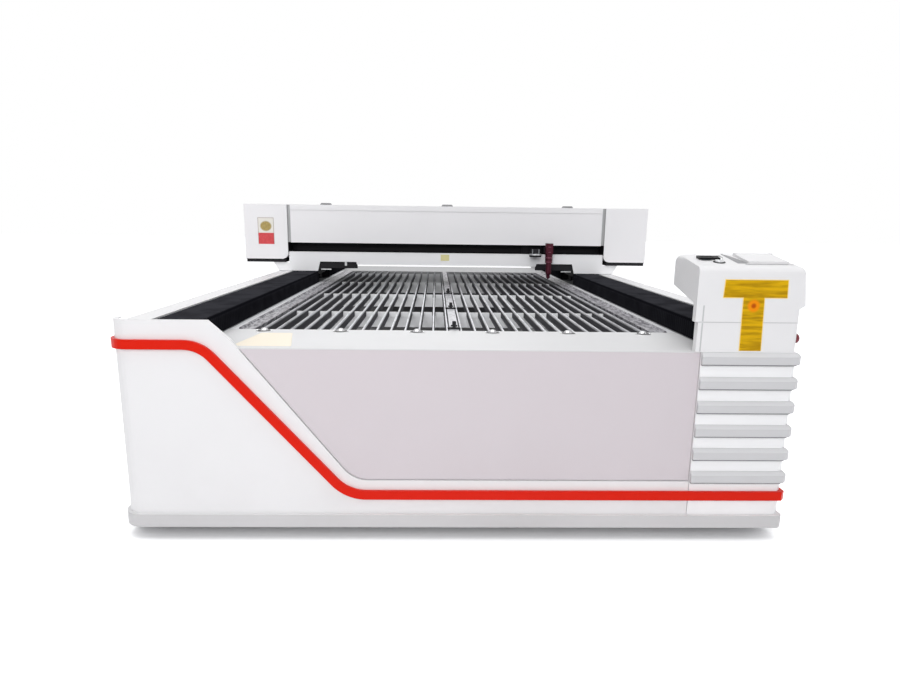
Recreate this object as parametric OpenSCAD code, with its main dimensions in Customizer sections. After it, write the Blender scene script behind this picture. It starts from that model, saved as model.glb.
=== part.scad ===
// Flat-bed laser engraving and cutting machine with a moving gantry.
// Frame: origin under the middle of the overall box, +X to the operator's right,
// +Y from the operator's side to the back, +Z up. Millimetres.

/* [Body] */
// Width over the side panels
body_w = 1890; // [1570:1:2270]
// Length from the front skin to the rear skin
body_l = 3335; // [2780:1:4010]
// Height of the feet under the skirt
floor_gap = 40; // [30:1:70]
// Height of the skirt round the base
skirt_h = 38; // [25:1:60]
// How far the skirt and the ribs stand out
skirt_out = 10; // [8:1:20]
// Height of the table and of the front ledge
ledge_z = 560; // [466:1:700]
// Rise of the side panels above the ledge
side_rise = 62; // [50:1:80]
// Rise of the front left corner above the ledge
corner_rise = 76; // [66:1:100]
// Plan radius of the front left corner
corner_r = 50; // [20:1:60]
// Sheet thickness of the skins
skin_t = 2.5; // [1.5:0.5:3]
// Depth of the folded edges of the front skins
fold_d = 14; // [10:1:20]

/* [Front] */
// Height of the grey panel's lower edge
band_z = 179; // [168:1:220]
// Width of the right corner module
corner_w = 272; // [226:1:330]
// Distance in from the left side at which the diagonal would reach the top
diag_top_in = 285; // [237:1:342]
// Distance in from the left side at which the diagonal would meet the lower edge
diag_low_in = 653; // [544:1:784]
// Width of the accent strip
strip_w = 26; // [20:1:34]
// Thickness of the accent strip
strip_t = 10; // [4:1:14]
// Height of the strip's middle on the left
strip_high_z = 570; // [480:1:590]
// Height of the strip's middle on the right
strip_low_z = 138; // [125:1:145]
// Distance in from the left side of the strip's upper bend
strip_high_in = 245; // [204:1:294]
// Distance in from the left side of the strip's lower bend
strip_low_in = 637; // [530:1:765]
// Number of ribs on the right corner
rib_count = 6; // [3:1:7]
// Distance from rib to rib
rib_pitch = 69.5; // [50:0.5:75]
// Height of a rib
rib_h = 33; // [20:1:40]

/* [Table] */
// Width of the aluminium strip on each side of the slats
side_strip_w = 80; // [66:1:96]
// Depth of the rear ledge, from the table to the rear skin
rear_ledge_d = 513; // [427:1:900]
// Depth of the front ledge
front_ledge_d = 322; // [268:1:387]
// Number of knife slats
slat_count = 28; // [20:2:34]
// Height of a knife slat
slat_h = 30; // [20:1:40]
// Number of bearers under the slats
bearer_count = 5; // [3:1:7]
// Number of feed balls on the front ledge
ball_count = 6; // [6:1:6]
// Diameter of a feed ball
ball_d = 30; // [24:1:36]

/* [Guides] */
// Distance from a side panel to its bellows
guide_in = 76; // [63:1:92]
// Width of a bellows
bellows_w = 146; // [140:1:176]
// Height of a bellows
bellows_h = 59; // [56:1:60]
// Length of one pleat
pleat_l = 50; // [40:1:80]
// Depth of a pleat
pleat_d = 8; // [5:1:9]
// Width of a guide rail
rail_w = 20; // [15:1:23]
// Diameter of a lead screw
screw_d = 20; // [16:1:24]

/* [Gantry] */
// Distance from the front skin to the gantry's face
gantry_at = 1941; // [600:1:2330]
// How far the end covers overhang the side panels
gantry_out = 175; // [146:1:210]
// Depth of the gantry
gantry_d = 380; // [360:1:456]
// Rise of the gantry's top above the ledge
gantry_rise = 427; // [400:1:513]
// Width of an end cover
end_w = 235; // [196:1:282]
// Height of the head's slot
slot_h = 50; // [44:1:60]
// Rise of the slot's lower edge above the ledge
slot_rise = 170; // [165:1:190]
// Gap between the table and the bridge's lower lip
bridge_gap = 101; // [90:1:110]
// Distance from the right guide to the laser head
head_in = 153; // [128:1:1290]

/* [Console] */
// Width of the console
console_w = 286; // [238:1:344]
// Depth of the hood
hood_d = 183; // [153:1:220]
// Rise of the hood's seam above the ledge
hood_seam = 84; // [80:1:100]
// Rise of the hood's front edge above the ledge
hood_rise = 236; // [200:1:284]

/* [Rear] */
// Outside diameter of an exhaust collar
collar_d = 152; // [127:1:183]
// Length of an exhaust collar
collar_l = 60; // [50:1:72]

/* [Hidden] */
$fn = 48;

// Clearances
seat_gap = 0.3;      // between pieces that pass close by
run_gap = 0.08;      // round a running shaft

// Overall places
half_w = body_w / 2;
gantry_w = body_w + 2 * gantry_out;
collar_flange_t = 3;
y_front = -(body_l + collar_l + collar_flange_t - skirt_out) / 2;
y_rear = y_front + body_l;
skin_back = y_front + fold_d;
skirt_top = floor_gap + skirt_h;
side_z = ledge_z + side_rise;
corner_z = ledge_z + corner_rise;
table_y0 = y_front + front_ledge_d;
table_y1 = y_rear - rear_ledge_d;

// Guide tunnels
tunnel_x = half_w - guide_in - bellows_w;
table_w = 2 * (tunnel_x - 3 - side_strip_w);
table_l = table_y1 - table_y0;
beam_x0 = tunnel_x - 1;
beam_x1 = tunnel_x + bellows_w + 3;
beam_h = 80;
tunnel_z = ledge_z + 2;
bellows_top = tunnel_z + bellows_h;
rail_x = tunnel_x + 57;
rail_h = 22;
screw_x = tunnel_x + 115;
screw_z = ledge_z + 28;
guide_y0 = y_front + 60;
guide_y1 = y_rear - 150;
motor_w = 56;
motor_l = 95;

// Frame tubes
tube = 60;
tube_t = 4;
leg_x = (beam_x0 + beam_x1) / 2;
foot_in = 80;
leg_ys = [skin_back + tube / 2, (y_front + y_rear) / 2, y_rear - fold_d - tube / 2];
foot_ys = [leg_ys[0] + foot_in, leg_ys[1], leg_ys[2] - foot_in];
frame_z0 = floor_gap + 3;
ledge_t = skin_t;

// Slats and bearers
bearer_h = 40;
bearer_z = ledge_z - slat_h;
bearer_in = 93;

// Gantry
gy = y_front + gantry_at;
gantry_top = ledge_z + gantry_rise;
cover_x = gantry_w / 2 - end_w - 15;
slot_z = ledge_z + slot_rise;
cover_z = slot_z + slot_h;
lip_z = ledge_z + bridge_gap;
lid_lip = 29;
hem = 6;
foot_z0 = ledge_z + 40;
foot_t = 16;
foot_x0 = tunnel_x + 12;
foot_x1 = tunnel_x + bellows_w - 4;
foot_y0 = gy + 6;
foot_y1 = gy + 330;
beam_y = gy + 110;
gbeam_d = 120;
gbeam_h = 140;
gbeam_z = slot_z - 40;
x_rail_z = slot_z + 15;
belt_y = gy + 80;
belt_w = 15;
belt_z = cover_z + 18;
pulley_r = 20;
belt_t = 2;
pulley_x = cover_x + 65;
belt_low = belt_z - pulley_r - 0.3;
tube_y = gy + 285;
tube_z = gbeam_z + gbeam_h + 75;
tube_r = 40;

tray_h = 18;
end_z = slot_z - 40;
end_out = 14;
end_r = 34;
lid_hinge_z = gantry_top - 5;
lid_hinge_y = gy + gantry_d - 5;
hinge_x = cover_x - 270;
hinge_xs = [-hinge_x, 0, hinge_x];
head_x = tunnel_x - head_in;
tube_half = cover_x - 110;

// Console
skin_cut = 12;
con_x1 = half_w - skin_cut + 1;
con_x0 = con_x1 - console_w;
hood_z0 = ledge_z + hood_seam;
hood_z1 = ledge_z + hood_rise;
estop_y = y_front + 26;
estop_z = ledge_z + 37;

WHITE = [0.93, 0.93, 0.93];
GREY = [0.82, 0.81, 0.82];
ORANGE = [0.90, 0.16, 0.05];
BLACK = [0.06, 0.06, 0.07];
STEEL = [0.62, 0.63, 0.65];
ALU = [0.76, 0.76, 0.78];
CHROME = [0.85, 0.86, 0.88];
RED = [0.70, 0.05, 0.05];
CRIMSON = [0.42, 0.03, 0.11];
GLASS = [0.80, 0.88, 0.92, 0.5];

// ---------- helpers ----------

// Points on an arc from angle a to angle b
function arc(c, r, a, b, n = 8) =
    [for (i = [0 : n]) [c.x + r * cos(a + (b - a) * i / n), c.y + r * sin(a + (b - a) * i / n)]];

// A box from its low corner to its high corner
module span(lo, hi) {
    translate(lo) cube(hi - lo);
}

// A profile drawn in (Y, Z), run along X
module along_x(x0, x1) {
    translate([x0, 0, 0]) rotate([90, 0, 90]) linear_extrude(x1 - x0) children();
}

// A profile drawn in (X, Z), run along Y
module along_y(y0, y1) {
    translate([0, y1, 0]) rotate([90, 0, 0]) linear_extrude(y1 - y0) children();
}

// The same thing on both sides of the machine
module both_sides() {
    children();
    mirror([1, 0, 0]) children();
}

// A cylinder along X or Y from a start point
module rod_x(p, r, l) {
    translate(p) rotate([0, 90, 0]) cylinder(r = r, h = l);
}
module rod_y(p, r, l) {
    translate(p) rotate([-90, 0, 0]) cylinder(r = r, h = l);
}

// Plan outline of the skins, grown by o: round at the front left, cut at the front right
function plan(o) = let (c = skin_cut) concat(
    arc([-half_w + corner_r, y_front + corner_r], corner_r + o, 180, 270),
    [[half_w + o - c, y_front - o], [half_w + o, y_front - o + c],
     [half_w + o, y_rear + o], [-half_w - o, y_rear + o]]);

// A bend of radius r where a run from p to q turns on to s, as points
function bend(p, q, s, r) = let (
    u = (p - q) / norm(p - q),
    v = (s - q) / norm(s - q),
    half = acos(u * v) / 2,
    mid = (u + v) / norm(u + v),
    c = q + mid * r / sin(half),
    a0 = atan2((q + u * r / tan(half) - c).y, (q + u * r / tan(half) - c).x),
    a1 = atan2((q + v * r / tan(half) - c).y, (q + v * r / tan(half) - c).x),
    turn = a1 - a0 > 180 ? a1 - a0 - 360 : (a1 - a0 < -180 ? a1 - a0 + 360 : a1 - a0)
) arc(c, r, a0, a0 + turn, 10);

// ---------- base ----------

// Low and high corners of every tube of the welded frame
leg_top = ledge_z - beam_h;
low_rail_z = frame_z0;
frame_tubes = concat(
    [for (s = [-1, 1], y = leg_ys)
        [[s * leg_x - tube / 2, y - tube / 2, frame_z0], [s * leg_x + tube / 2, y + tube / 2, leg_top + tube_t]]],
    [for (s = [-1, 1])
        [[s * leg_x - tube / 2, leg_ys[0], low_rail_z], [s * leg_x + tube / 2, leg_ys[2], low_rail_z + tube]]],
    [for (y = leg_ys)
        [[-leg_x, y - tube / 2, low_rail_z], [leg_x, y + tube / 2, low_rail_z + tube]]],
    [for (y = [leg_ys[0], leg_ys[2]])
        [[-leg_x, y - tube / 2, ledge_z - ledge_t - tube], [leg_x, y + tube / 2, ledge_z - ledge_t]]]);

module frame() {
    color(STEEL) difference() {
        union() {
            for (t = frame_tubes) span(t[0], t[1]);
            both_sides() span([beam_x0, skin_back, ledge_z - beam_h], [beam_x1, y_rear - fold_d, ledge_z]);
        }
        for (t = frame_tubes)
            span(t[0] + [tube_t, tube_t, t[0].z == frame_z0 && t[1].z > 200 ? -1 : tube_t],
                 t[1] - [tube_t, tube_t, tube_t]);
        both_sides() span([beam_x0 + 5, skin_back - 1, ledge_z - beam_h + 5], [beam_x1 - 5, y_rear, ledge_z - 5]);
    }
}

module levelling_feet() {
    color(BLACK) for (s = [-1, 1], y = foot_ys) translate([s * leg_x, y, 0]) {
        cylinder(r = 40, h = 10);
        translate([0, 0, 10]) cylinder(r1 = 40, r2 = 14, h = 10);
        translate([0, 0, 20]) cylinder(r = 8, h = floor_gap - 20);
        translate([0, 0, floor_gap - 12]) cylinder(r = 16, h = 12, $fn = 6);
    }
}

// Tray under the whole base, with a lip that the skins stand on
module base_skirt() {
    color(GREY) difference() {
        translate([0, 0, floor_gap]) linear_extrude(skirt_h) polygon(plan(skirt_out));
        translate([0, 0, floor_gap + 3]) linear_extrude(skirt_h - 3 - skin_t) polygon(plan(skirt_out - skin_t));
        translate([0, 0, floor_gap + 3]) linear_extrude(skirt_h) polygon(plan(2 - fold_d));
    }
}

// ---------- front skins ----------

seam_x = half_w - corner_w;
diag_p = [diag_top_in - half_w, corner_z];

// How far the diagonal runs sideways for each millimetre down
diag_slope = [(diag_low_in - diag_top_in) / (corner_z - band_z), -1];
diag_wide = norm(diag_slope);
// Point on the diagonal at height z, moved sideways to the right by o
function diag_at(z, o = 0) = diag_p + diag_slope * (corner_z - z) + [o * diag_wide, 0];

// Above this height the shroud's edge leans back to the left a little more
flare_z = ledge_z + 22;
flare = 17;

// Outline of the white shroud in (X, Z), drawn in by t
function shroud_outline(t) = concat(
    [[-half_w - 50, skirt_top + t], [seam_x - t, skirt_top + t], [seam_x - t, band_z - t]],
    bend([seam_x - t, band_z - t], diag_at(band_z - t, -t), diag_at(corner_z - t, -t), 90 + t),
    [diag_at(flare_z, -t), diag_at(corner_z - t, -t) - [flare, 0], [-half_w - 50, corner_z - t]]);

// Outline of the grey panel in (X, Z), drawn in by t
function panel_outline(t) = let (g = 1.5 + t, top_z = ledge_z - ledge_t - t) concat(
    [[seam_x - t, top_z], diag_at(top_z, g)],
    bend(diag_at(top_z, g), diag_at(band_z + g, g), [seam_x, band_z + g], 90 - t),
    [[seam_x - t, band_z + g]]);

// Plan strip that follows the skins, from outside to a depth
module plan_ring(outer, inner, h) {
    linear_extrude(h) difference() {
        polygon(plan(outer));
        polygon(plan(inner));
    }
}

module front_shroud() {
    color(WHITE) difference() {
        intersection() {
            plan_ring(0, -fold_d, corner_z + 10);
            along_y(y_front - 20, y_front + corner_r + 12) polygon(shroud_outline(0));
        }
        intersection() {
            linear_extrude(corner_z + 10) polygon(plan(-skin_t));
            along_y(y_front - 20, y_front + corner_r + 13) polygon(shroud_outline(skin_t));
        }
    }
}

module front_panel() {
    recess = 6;
    color(GREY) difference() {
        along_y(y_front + recess, skin_back) polygon(panel_outline(0));
        along_y(y_front + recess + skin_t, skin_back + 1) polygon(panel_outline(skin_t));
    }
}

// Middle line of the accent strip, offset sideways by o
strip_high_x = strip_high_in - half_w;
strip_low_x = strip_low_in - half_w;
function strip_line(o) = let (
    a = [-half_w - 60, strip_high_z + o],
    run = [strip_low_x - strip_high_x, strip_low_z - strip_high_z],
    side = o * norm(run) / abs(run.y),
    shift = side - o * abs(run.x) / abs(run.y),
    b = [strip_high_x + shift, strip_high_z + o],
    c = [strip_low_x + shift, strip_low_z + o],
    d = [half_w + 60, strip_low_z + o]
) concat([a], bend(a, b, c, 100 + o), bend(b, c, d, 120 - o), [d]);

function reversed(list) = [for (i = [len(list) - 1 : -1 : 0]) list[i]];

module accent_strip() {
    color(ORANGE) intersection() {
        plan_ring(strip_t, 0, corner_z + 10);
        union() {
            along_y(y_front - 20, y_front + corner_r + 10)
                polygon(concat(strip_line(strip_w / 2), reversed(strip_line(-strip_w / 2))));
            span([-half_w - 60, y_front + corner_r, strip_high_z - strip_w / 2],
                 [-half_w + 60, y_rear - 20, strip_high_z + strip_w / 2]);
            span([half_w - 60, y_front + corner_r, strip_low_z - strip_w / 2],
                 [half_w + 60, y_rear - 20, strip_low_z + strip_w / 2]);
        }
    }
}

corner_side_d = 186;

module corner_panel() {
    x0 = seam_x + 1.5;
    y1 = y_front + corner_side_d;
    color(WHITE) difference() {
        translate([0, 0, skirt_top]) intersection() {
            plan_ring(0, -fold_d, ledge_z - skirt_top);
            span([x0, y_front - 10, 0], [half_w + 10, y1, corner_z]);
        }
        intersection() {
            translate([0, 0, skirt_top + skin_t]) linear_extrude(ledge_z - skirt_top - 2 * skin_t)
                polygon(plan(-skin_t));
            span([x0 + skin_t, y_front - 10, 0], [half_w + 10, y1 - skin_t, corner_z]);
        }
    }
}

module corner_ribs() {
    ramp = rib_h / 3;
    out = skirt_out;
    color(GREY) for (i = [0 : rib_count - 1])
        translate([0, 0, ledge_z - rib_h - i * rib_pitch]) difference() {
            intersection() {
                linear_extrude(rib_h) polygon(plan(out));
                along_x(seam_x + 1.5, half_w + out + 1)
                    polygon([[y_front - out, 0], [y_front + corner_side_d, 0], [y_front + corner_side_d, rib_h],
                             [y_front, rib_h], [y_front - out, rib_h - ramp]]);
                along_y(y_front - out - 1, y_front + corner_side_d)
                    polygon([[seam_x, 0], [half_w + out, 0], [half_w + out, rib_h - ramp],
                             [half_w, rib_h], [seam_x, rib_h]]);
            }
            translate([0, 0, -1]) linear_extrude(rib_h + 2) polygon(plan(0));
        }
}

// ---------- side and rear skins ----------

// Section of a side panel in (X, Z): skin, top flange and inner return
module side_section() {
    t = skin_t;
    lip = beam_x1;
    polygon([[half_w, skirt_top], [half_w, side_z], [lip, side_z], [lip, ledge_z - 12],
             [lip + t, ledge_z - 12], [lip + t, side_z - t], [half_w - t, side_z - t], [half_w - t, skirt_top]]);
}

module side_panel(y0) {
    along_y(y0, y_rear - skin_t) side_section();
}

module left_side_panel() {
    y0 = y_front + corner_r + 13;
    color(WHITE) mirror([1, 0, 0]) {
        side_panel(y0);
    }
    color(WHITE) intersection() {
        translate([0, 0, side_z - skin_t]) linear_extrude(skin_t) polygon(plan(-fold_d - seat_gap));
        span([-half_w, y_front, side_z - 10], [-beam_x1, y0, side_z + 1]);
    }
}

module right_side_panel() {
    slot = [6, 110];
    color(WHITE) difference() {
        side_panel(y_front + corner_side_d + 1);
        for (g = [0, 1], i = [0 : 7])
            span([half_w - 10, y_front + 330 + g * 190, 300 + i * 16],
                 [half_w + 10, y_front + 330 + g * 190 + slot.y, 300 + i * 16 + slot.x]);
    }
}

collar_x = 400;
collar_z = 280;

module rear_panel() {
    color(WHITE) difference() {
        span([-half_w, y_rear - skin_t, skirt_top], [half_w, y_rear, side_z]);
        span([-beam_x0 + 40, y_rear - 10, ledge_z - ledge_t], [beam_x0 - 40, y_rear + 10, side_z + 1]);
        for (s = [-1, 1]) rod_y([s * collar_x, y_rear - 10, collar_z], collar_d / 2 - 3, 20);
        for (i = [0 : 9])
            span([-110, y_rear - 10, 220 + i * 16], [110, y_rear + 10, 227 + i * 16]);
    }
}

module exhaust_collars() {
    color(STEEL) for (s = [-1, 1]) difference() {
        union() {
            rod_y([s * collar_x, y_rear, collar_z], collar_d / 2 + 20, collar_flange_t);
            rod_y([s * collar_x, y_rear, collar_z], collar_d / 2, collar_flange_t + collar_l);
        }
        rod_y([s * collar_x, y_rear - 1, collar_z], collar_d / 2 - 3, collar_l + 10);
    }
}

// ---------- ledges and table ----------

ball_y = table_y0 - 38;
cup_r = 26;
cup_neck = 19;
ball_sink = 3;
ball_pitch = table_w * 3 / 16;
function ball_x(i) = (i - (ball_count - 1) / 2) * ball_pitch;

module front_ledge() {
    edge = tunnel_x - 1.5;
    color(WHITE) difference() {
        union() {
            span([-edge, y_front + 6, ledge_z - ledge_t], [edge, table_y0, ledge_z]);
            span([-table_w / 2, table_y0 - ledge_t, ledge_z - 28], [table_w / 2, table_y0, ledge_z - ledge_t]);
        }
        span([seam_x + 1, y_front, ledge_z - 10], [edge + 1, skin_back + seat_gap, ledge_z + 1]);
        span([-edge - 1, y_front, ledge_z - 10],
             [diag_at(ledge_z - ledge_t).x + 1, skin_back + seat_gap, ledge_z + 1]);
        for (i = [0 : ball_count - 1])
            translate([ball_x(i), ball_y, ledge_z - 10]) cylinder(r = cup_neck + seat_gap, h = 20);
    }
}

module rear_ledge() {
    box_y = guide_y1 + 2;
    y1 = y_rear - skin_t;
    color(WHITE) {
        span([-tunnel_x + 1.5, table_y1, ledge_z - ledge_t], [tunnel_x - 1.5, y1, ledge_z]);
        span([-table_w / 2, table_y1, ledge_z - 28], [table_w / 2, table_y1 + ledge_t, ledge_z - ledge_t]);
        both_sides() difference() {
            span([tunnel_x - 3, box_y, ledge_z], [beam_x1 - 0.5, y1, side_z]);
            span([tunnel_x - 1, box_y - 1, ledge_z - 10], [beam_x1 - 2.5, y1 - 2, side_z - 2]);
        }
    }
}

// Flanged cup of a ball transfer unit, with the ball's socket
module ball_cups() {
    color(CHROME) for (i = [0 : ball_count - 1]) translate([ball_x(i), ball_y, ledge_z]) difference() {
        rotate_extrude() polygon([[0, -21], [14, -21], [cup_neck, -14], [cup_neck, 0], [cup_r, 0], [cup_r, 2],
                                  [18, 3.5], [0, 3.5]]);
        translate([0, 0, -ball_sink]) sphere(d = ball_d + 2 * run_gap);
        for (s = [-1, 1]) translate([s * 22, 0, 1]) cylinder(r = 1.6, h = 4);
    }
}

module feed_ball(i) {
    color(CHROME) translate([ball_x(i), ball_y, ledge_z - ball_sink]) sphere(d = ball_d);
}

slat_pitch = table_w / slat_count;
slat_foot_w = 10;
// Clear space between the spine and the foot of the slat on each side of it
spine_gap = 20 / 7;
spine_w = slat_pitch - slat_foot_w - 2 * spine_gap;

// Aluminium strips on each side of the slats, and the spine between the middle slats
module table_rails() {
    color(ALU) {
        both_sides() along_y(table_y0 + 1, table_y1 - 1) polygon([
            [table_w / 2, bearer_z], [table_w / 2 + 6, bearer_z], [table_w / 2 + 6, ledge_z - 4],
            [tunnel_x - 9, ledge_z - 4], [tunnel_x - 9, bearer_z], [tunnel_x - 3, bearer_z],
            [tunnel_x - 3, ledge_z], [tunnel_x - 32, ledge_z], [tunnel_x - 34, ledge_z + 5],
            [tunnel_x - 42, ledge_z + 5], [tunnel_x - 45, ledge_z], [table_w / 2, ledge_z]]);
        span([-spine_w / 2, table_y0 + 1, bearer_z], [spine_w / 2, table_y1 - 1, ledge_z - 1]);
    }
}

module knife_slats() {
    color(ALU) for (i = [0 : slat_count - 1]) translate([(i - (slat_count - 1) / 2) * slat_pitch, 0, bearer_z])
        along_y(table_y0 + 1, table_y1 - 1) polygon([
            [-slat_foot_w / 2, 0], [slat_foot_w / 2, 0], [slat_foot_w / 2, 2], [3, 4], [3, slat_h - 4], [1.5, slat_h],
            [-1.5, slat_h], [-3, slat_h - 4], [-3, 4], [-slat_foot_w / 2, 2]]);
}

module slat_bearers() {
    step = table_l / (bearer_count - 1.03);
    ys = concat([table_y0 + bearer_h / 2 + 8], [for (i = [0 : bearer_count - 2]) table_y1 - bearer_in - i * step]);
    color(STEEL) for (y = ys) translate([0, y, bearer_z - bearer_h])
        difference() {
            span([-beam_x0, -bearer_h / 2, 0], [beam_x0, bearer_h / 2, bearer_h]);
            span([-beam_x0 - 1, -bearer_h / 2 + 3, 3], [beam_x0 + 1, bearer_h / 2 - 3, bearer_h - 3]);
        }
}

// Trough under the table: two slopes and a flat bottom, closed at both ends
module collection_pan() {
    top = bearer_z - bearer_h;
    t = 2;
    wide = beam_x0 - 12;
    deep = 170;
    color(STEEL) {
        along_y(table_y0 - 4, table_y1 + 4) polygon([
            [-beam_x0, top], [-wide, top], [-wide * 0.5, top - deep], [wide * 0.5, top - deep],
            [wide, top], [beam_x0, top], [beam_x0, top - t], [wide + t, top - t],
            [wide * 0.5 + t, top - deep - t], [-wide * 0.5 - t, top - deep - t], [-wide - t, top - t],
            [-beam_x0, top - t]]);
        for (y = [table_y0 - 4, table_y1 + 4 - t]) along_y(y, y + t) polygon([
            [-wide, top], [-wide * 0.5 - t, top - deep - t], [wide * 0.5 + t, top - deep - t], [wide, top]]);
    }
}

// ---------- guides along the bed ----------

module y_guide_rails() {
    color(STEEL) both_sides() along_y(guide_y0, guide_y1) translate([rail_x, ledge_z]) polygon([
        [-rail_w / 2, 0], [rail_w / 2, 0], [rail_w / 2, 8], [rail_w / 2 - 3, 12], [rail_w / 2, 16],
        [rail_w / 2, rail_h], [-rail_w / 2, rail_h], [-rail_w / 2, 16], [-rail_w / 2 + 3, 12], [-rail_w / 2, 8]]);
}

support_t = 20;

// Fixed front end of each bellows, closed at the top, sides and front, and the screws' end bearings
module tunnel_ends() {
    t = 2;
    x1 = tunnel_x + bellows_w;
    color(BLACK) both_sides() {
        difference() {
            span([tunnel_x, skin_back + seat_gap, ledge_z], [x1, guide_y0, bellows_top]);
            span([tunnel_x + t, skin_back + seat_gap + t, ledge_z - 1], [x1 - t, guide_y0 + 1, bellows_top - t]);
        }
        for (y = [guide_y0 - support_t - 1, guide_y1 + 8]) difference() {
            span([screw_x - 20, y, ledge_z], [screw_x + 18, y + support_t, screw_z + 20]);
            rod_y([screw_x, y - 1, screw_z], screw_d / 2 + run_gap, support_t + 2);
        }
    }
}

screw_y0 = guide_y0 - support_t - 1;
screw_y1 = guide_y1 + 8 + support_t + 12;

module y_screw() {
    rod_y([screw_x, screw_y0, screw_z], screw_d / 2, screw_y1 - screw_y0);
}

module y_motors() {
    y0 = screw_y1 - 8;
    color(BLACK) both_sides() difference() {
        union() {
            span([screw_x - motor_w / 2, y0, ledge_z], [screw_x + motor_w / 2, y0 + motor_l, ledge_z + motor_w]);
            span([screw_x - motor_w / 2, guide_y1 + 8 + support_t, ledge_z],
                 [screw_x - motor_w / 2 + 8, y0, ledge_z + motor_w]);
        }
        rod_y([screw_x, y0 - 1, screw_z], screw_d / 2 + run_gap, 10);
    }
}

// Pleated covers from y0 to y1 on both sides, ridge and valley in turn
module bellows(y0, y1) {
    n = round((y1 - y0) / pleat_l) * 2;
    x0 = tunnel_x;
    x1 = tunnel_x + bellows_w;
    y = [for (i = [0 : n]) y0 + (y1 - y0) * i / n];
    d = [for (i = [0 : n]) i % 2 == 0 ? 0 : pleat_d];
    wall = pleat_d + 3;
    color(BLACK) both_sides() difference() {
        intersection() {
            along_x(x0, x1) polygon(concat([[y1, tunnel_z], [y0, tunnel_z]],
                [for (i = [0 : n]) [y[i], bellows_top - d[i]]]));
            linear_extrude(bellows_top) polygon(concat(
                [for (i = [0 : n]) [x0 + d[i], y[i]]], [for (i = [n : -1 : 0]) [x1 - d[i], y[i]]]));
        }
        span([x0 + wall, y0 - 1, tunnel_z - 1], [x1 - wall, y1 + 1, bellows_top - wall]);
    }
}

// ---------- gantry ----------

// Foot plates, risers and the guide blocks and screw nuts under them
module gantry_feet() {
    block = [48, 80];
    color(STEEL) both_sides() {
        span([foot_x0, foot_y0, foot_z0], [foot_x1, foot_y1, foot_z0 + foot_t]);
        difference() {
            span([foot_x0 + 4, beam_y - 30, foot_z0 + foot_t], [foot_x1 - 4, beam_y + gbeam_d + 30, gbeam_z]);
            span([foot_x0 + 12, beam_y - 22, foot_z0 + foot_t + 8], [foot_x1 + 4, beam_y + gbeam_d + 22, gbeam_z - 8]);
        }
        for (y = [foot_y0, foot_y1 - 4]) difference() {
            span([tunnel_x + 3, y, tunnel_z + 1], [tunnel_x + bellows_w - 3, y + 4, bellows_top - 2]);
            span([rail_x - rail_w / 2 - 2, y - 1, ledge_z], [rail_x + rail_w / 2 + 2, y + 5, ledge_z + rail_h + 2]);
            rod_y([screw_x, y - 1, screw_z], screw_d / 2 + 2, 6);
        }
        for (y = [foot_y0 + 15, foot_y1 - 15 - block.y]) difference() {
            span([rail_x - block.x / 2, y, ledge_z + 5], [rail_x + block.x / 2, y + block.y, foot_z0]);
            span([rail_x - rail_w / 2 - seat_gap, y - 1, ledge_z],
                 [rail_x + rail_w / 2 + seat_gap, y + block.y + 1, ledge_z + rail_h + seat_gap]);
        }
        difference() {
            span([screw_x - 22, foot_y0 + 140, screw_z - 20], [screw_x + 16, foot_y0 + 190, foot_z0]);
            rod_y([screw_x, foot_y0 + 139, screw_z], screw_d / 2 + run_gap, 52);
        }
    }
}

beam_end = cover_x + 14.5;

module gantry_beam() {
    color(BLACK) difference() {
        span([-beam_end, beam_y, gbeam_z], [beam_end, beam_y + gbeam_d, gbeam_z + gbeam_h]);
        span([-beam_end - 1, beam_y + 6, gbeam_z + 6], [beam_end + 1, beam_y + gbeam_d - 6, gbeam_z + gbeam_h - 6]);
    }
}

// Bulkheads at the ends of the beam: the covers and the belt's shafts hang on them
module gantry_ends() {
    x0 = cover_x - 6;
    y1 = gy + gantry_d - 2;
    win = [[belt_y - 10, belt_z - 28], [belt_y + belt_w + 8, belt_z + 28]];
    color(GREY) both_sides() difference() {
        union() {
            span([x0, gy + 2, cover_z + 2], [x0 + 4, y1, gantry_top - 2]);
            span([x0, beam_y + gbeam_d, gbeam_z + 2], [x0 + 4, y1, gantry_top - 2]);
            span([x0, gy + 2, cover_z + 2], [beam_end, gy + 6, gantry_top - 2]);
            span([x0, y1 - 4, gbeam_z + 2], [beam_end, y1, gantry_top - 2]);
            span([beam_end, gy + 2 - end_out, end_z + end_r + 2], [beam_end + 6, y1, gantry_top - 2]);
            span([beam_end + 6, belt_y + belt_w + 9, belt_z - 32], [pulley_x + 32, belt_y + belt_w + 15, belt_z + 32]);
        }
        span([x0 - 1, gy, gantry_top - 3 - 2], [cover_x + seat_gap, gy + hem + seat_gap, gantry_top]);
        span([x0 - 1, beam_y, gbeam_z], [beam_end, beam_y + gbeam_d, gbeam_z + gbeam_h]);
        span([x0 - 1, win[0].x, win[0].y], [beam_end + 7, win[1].x, win[1].y]);
        rod_y([pulley_x, belt_y + belt_w, belt_z], 8 + run_gap, 20);
    }
}

notch_x0 = tunnel_x - 218;
notch_x1 = tunnel_x - 10;
bridge_x = cover_x + 14;

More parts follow.
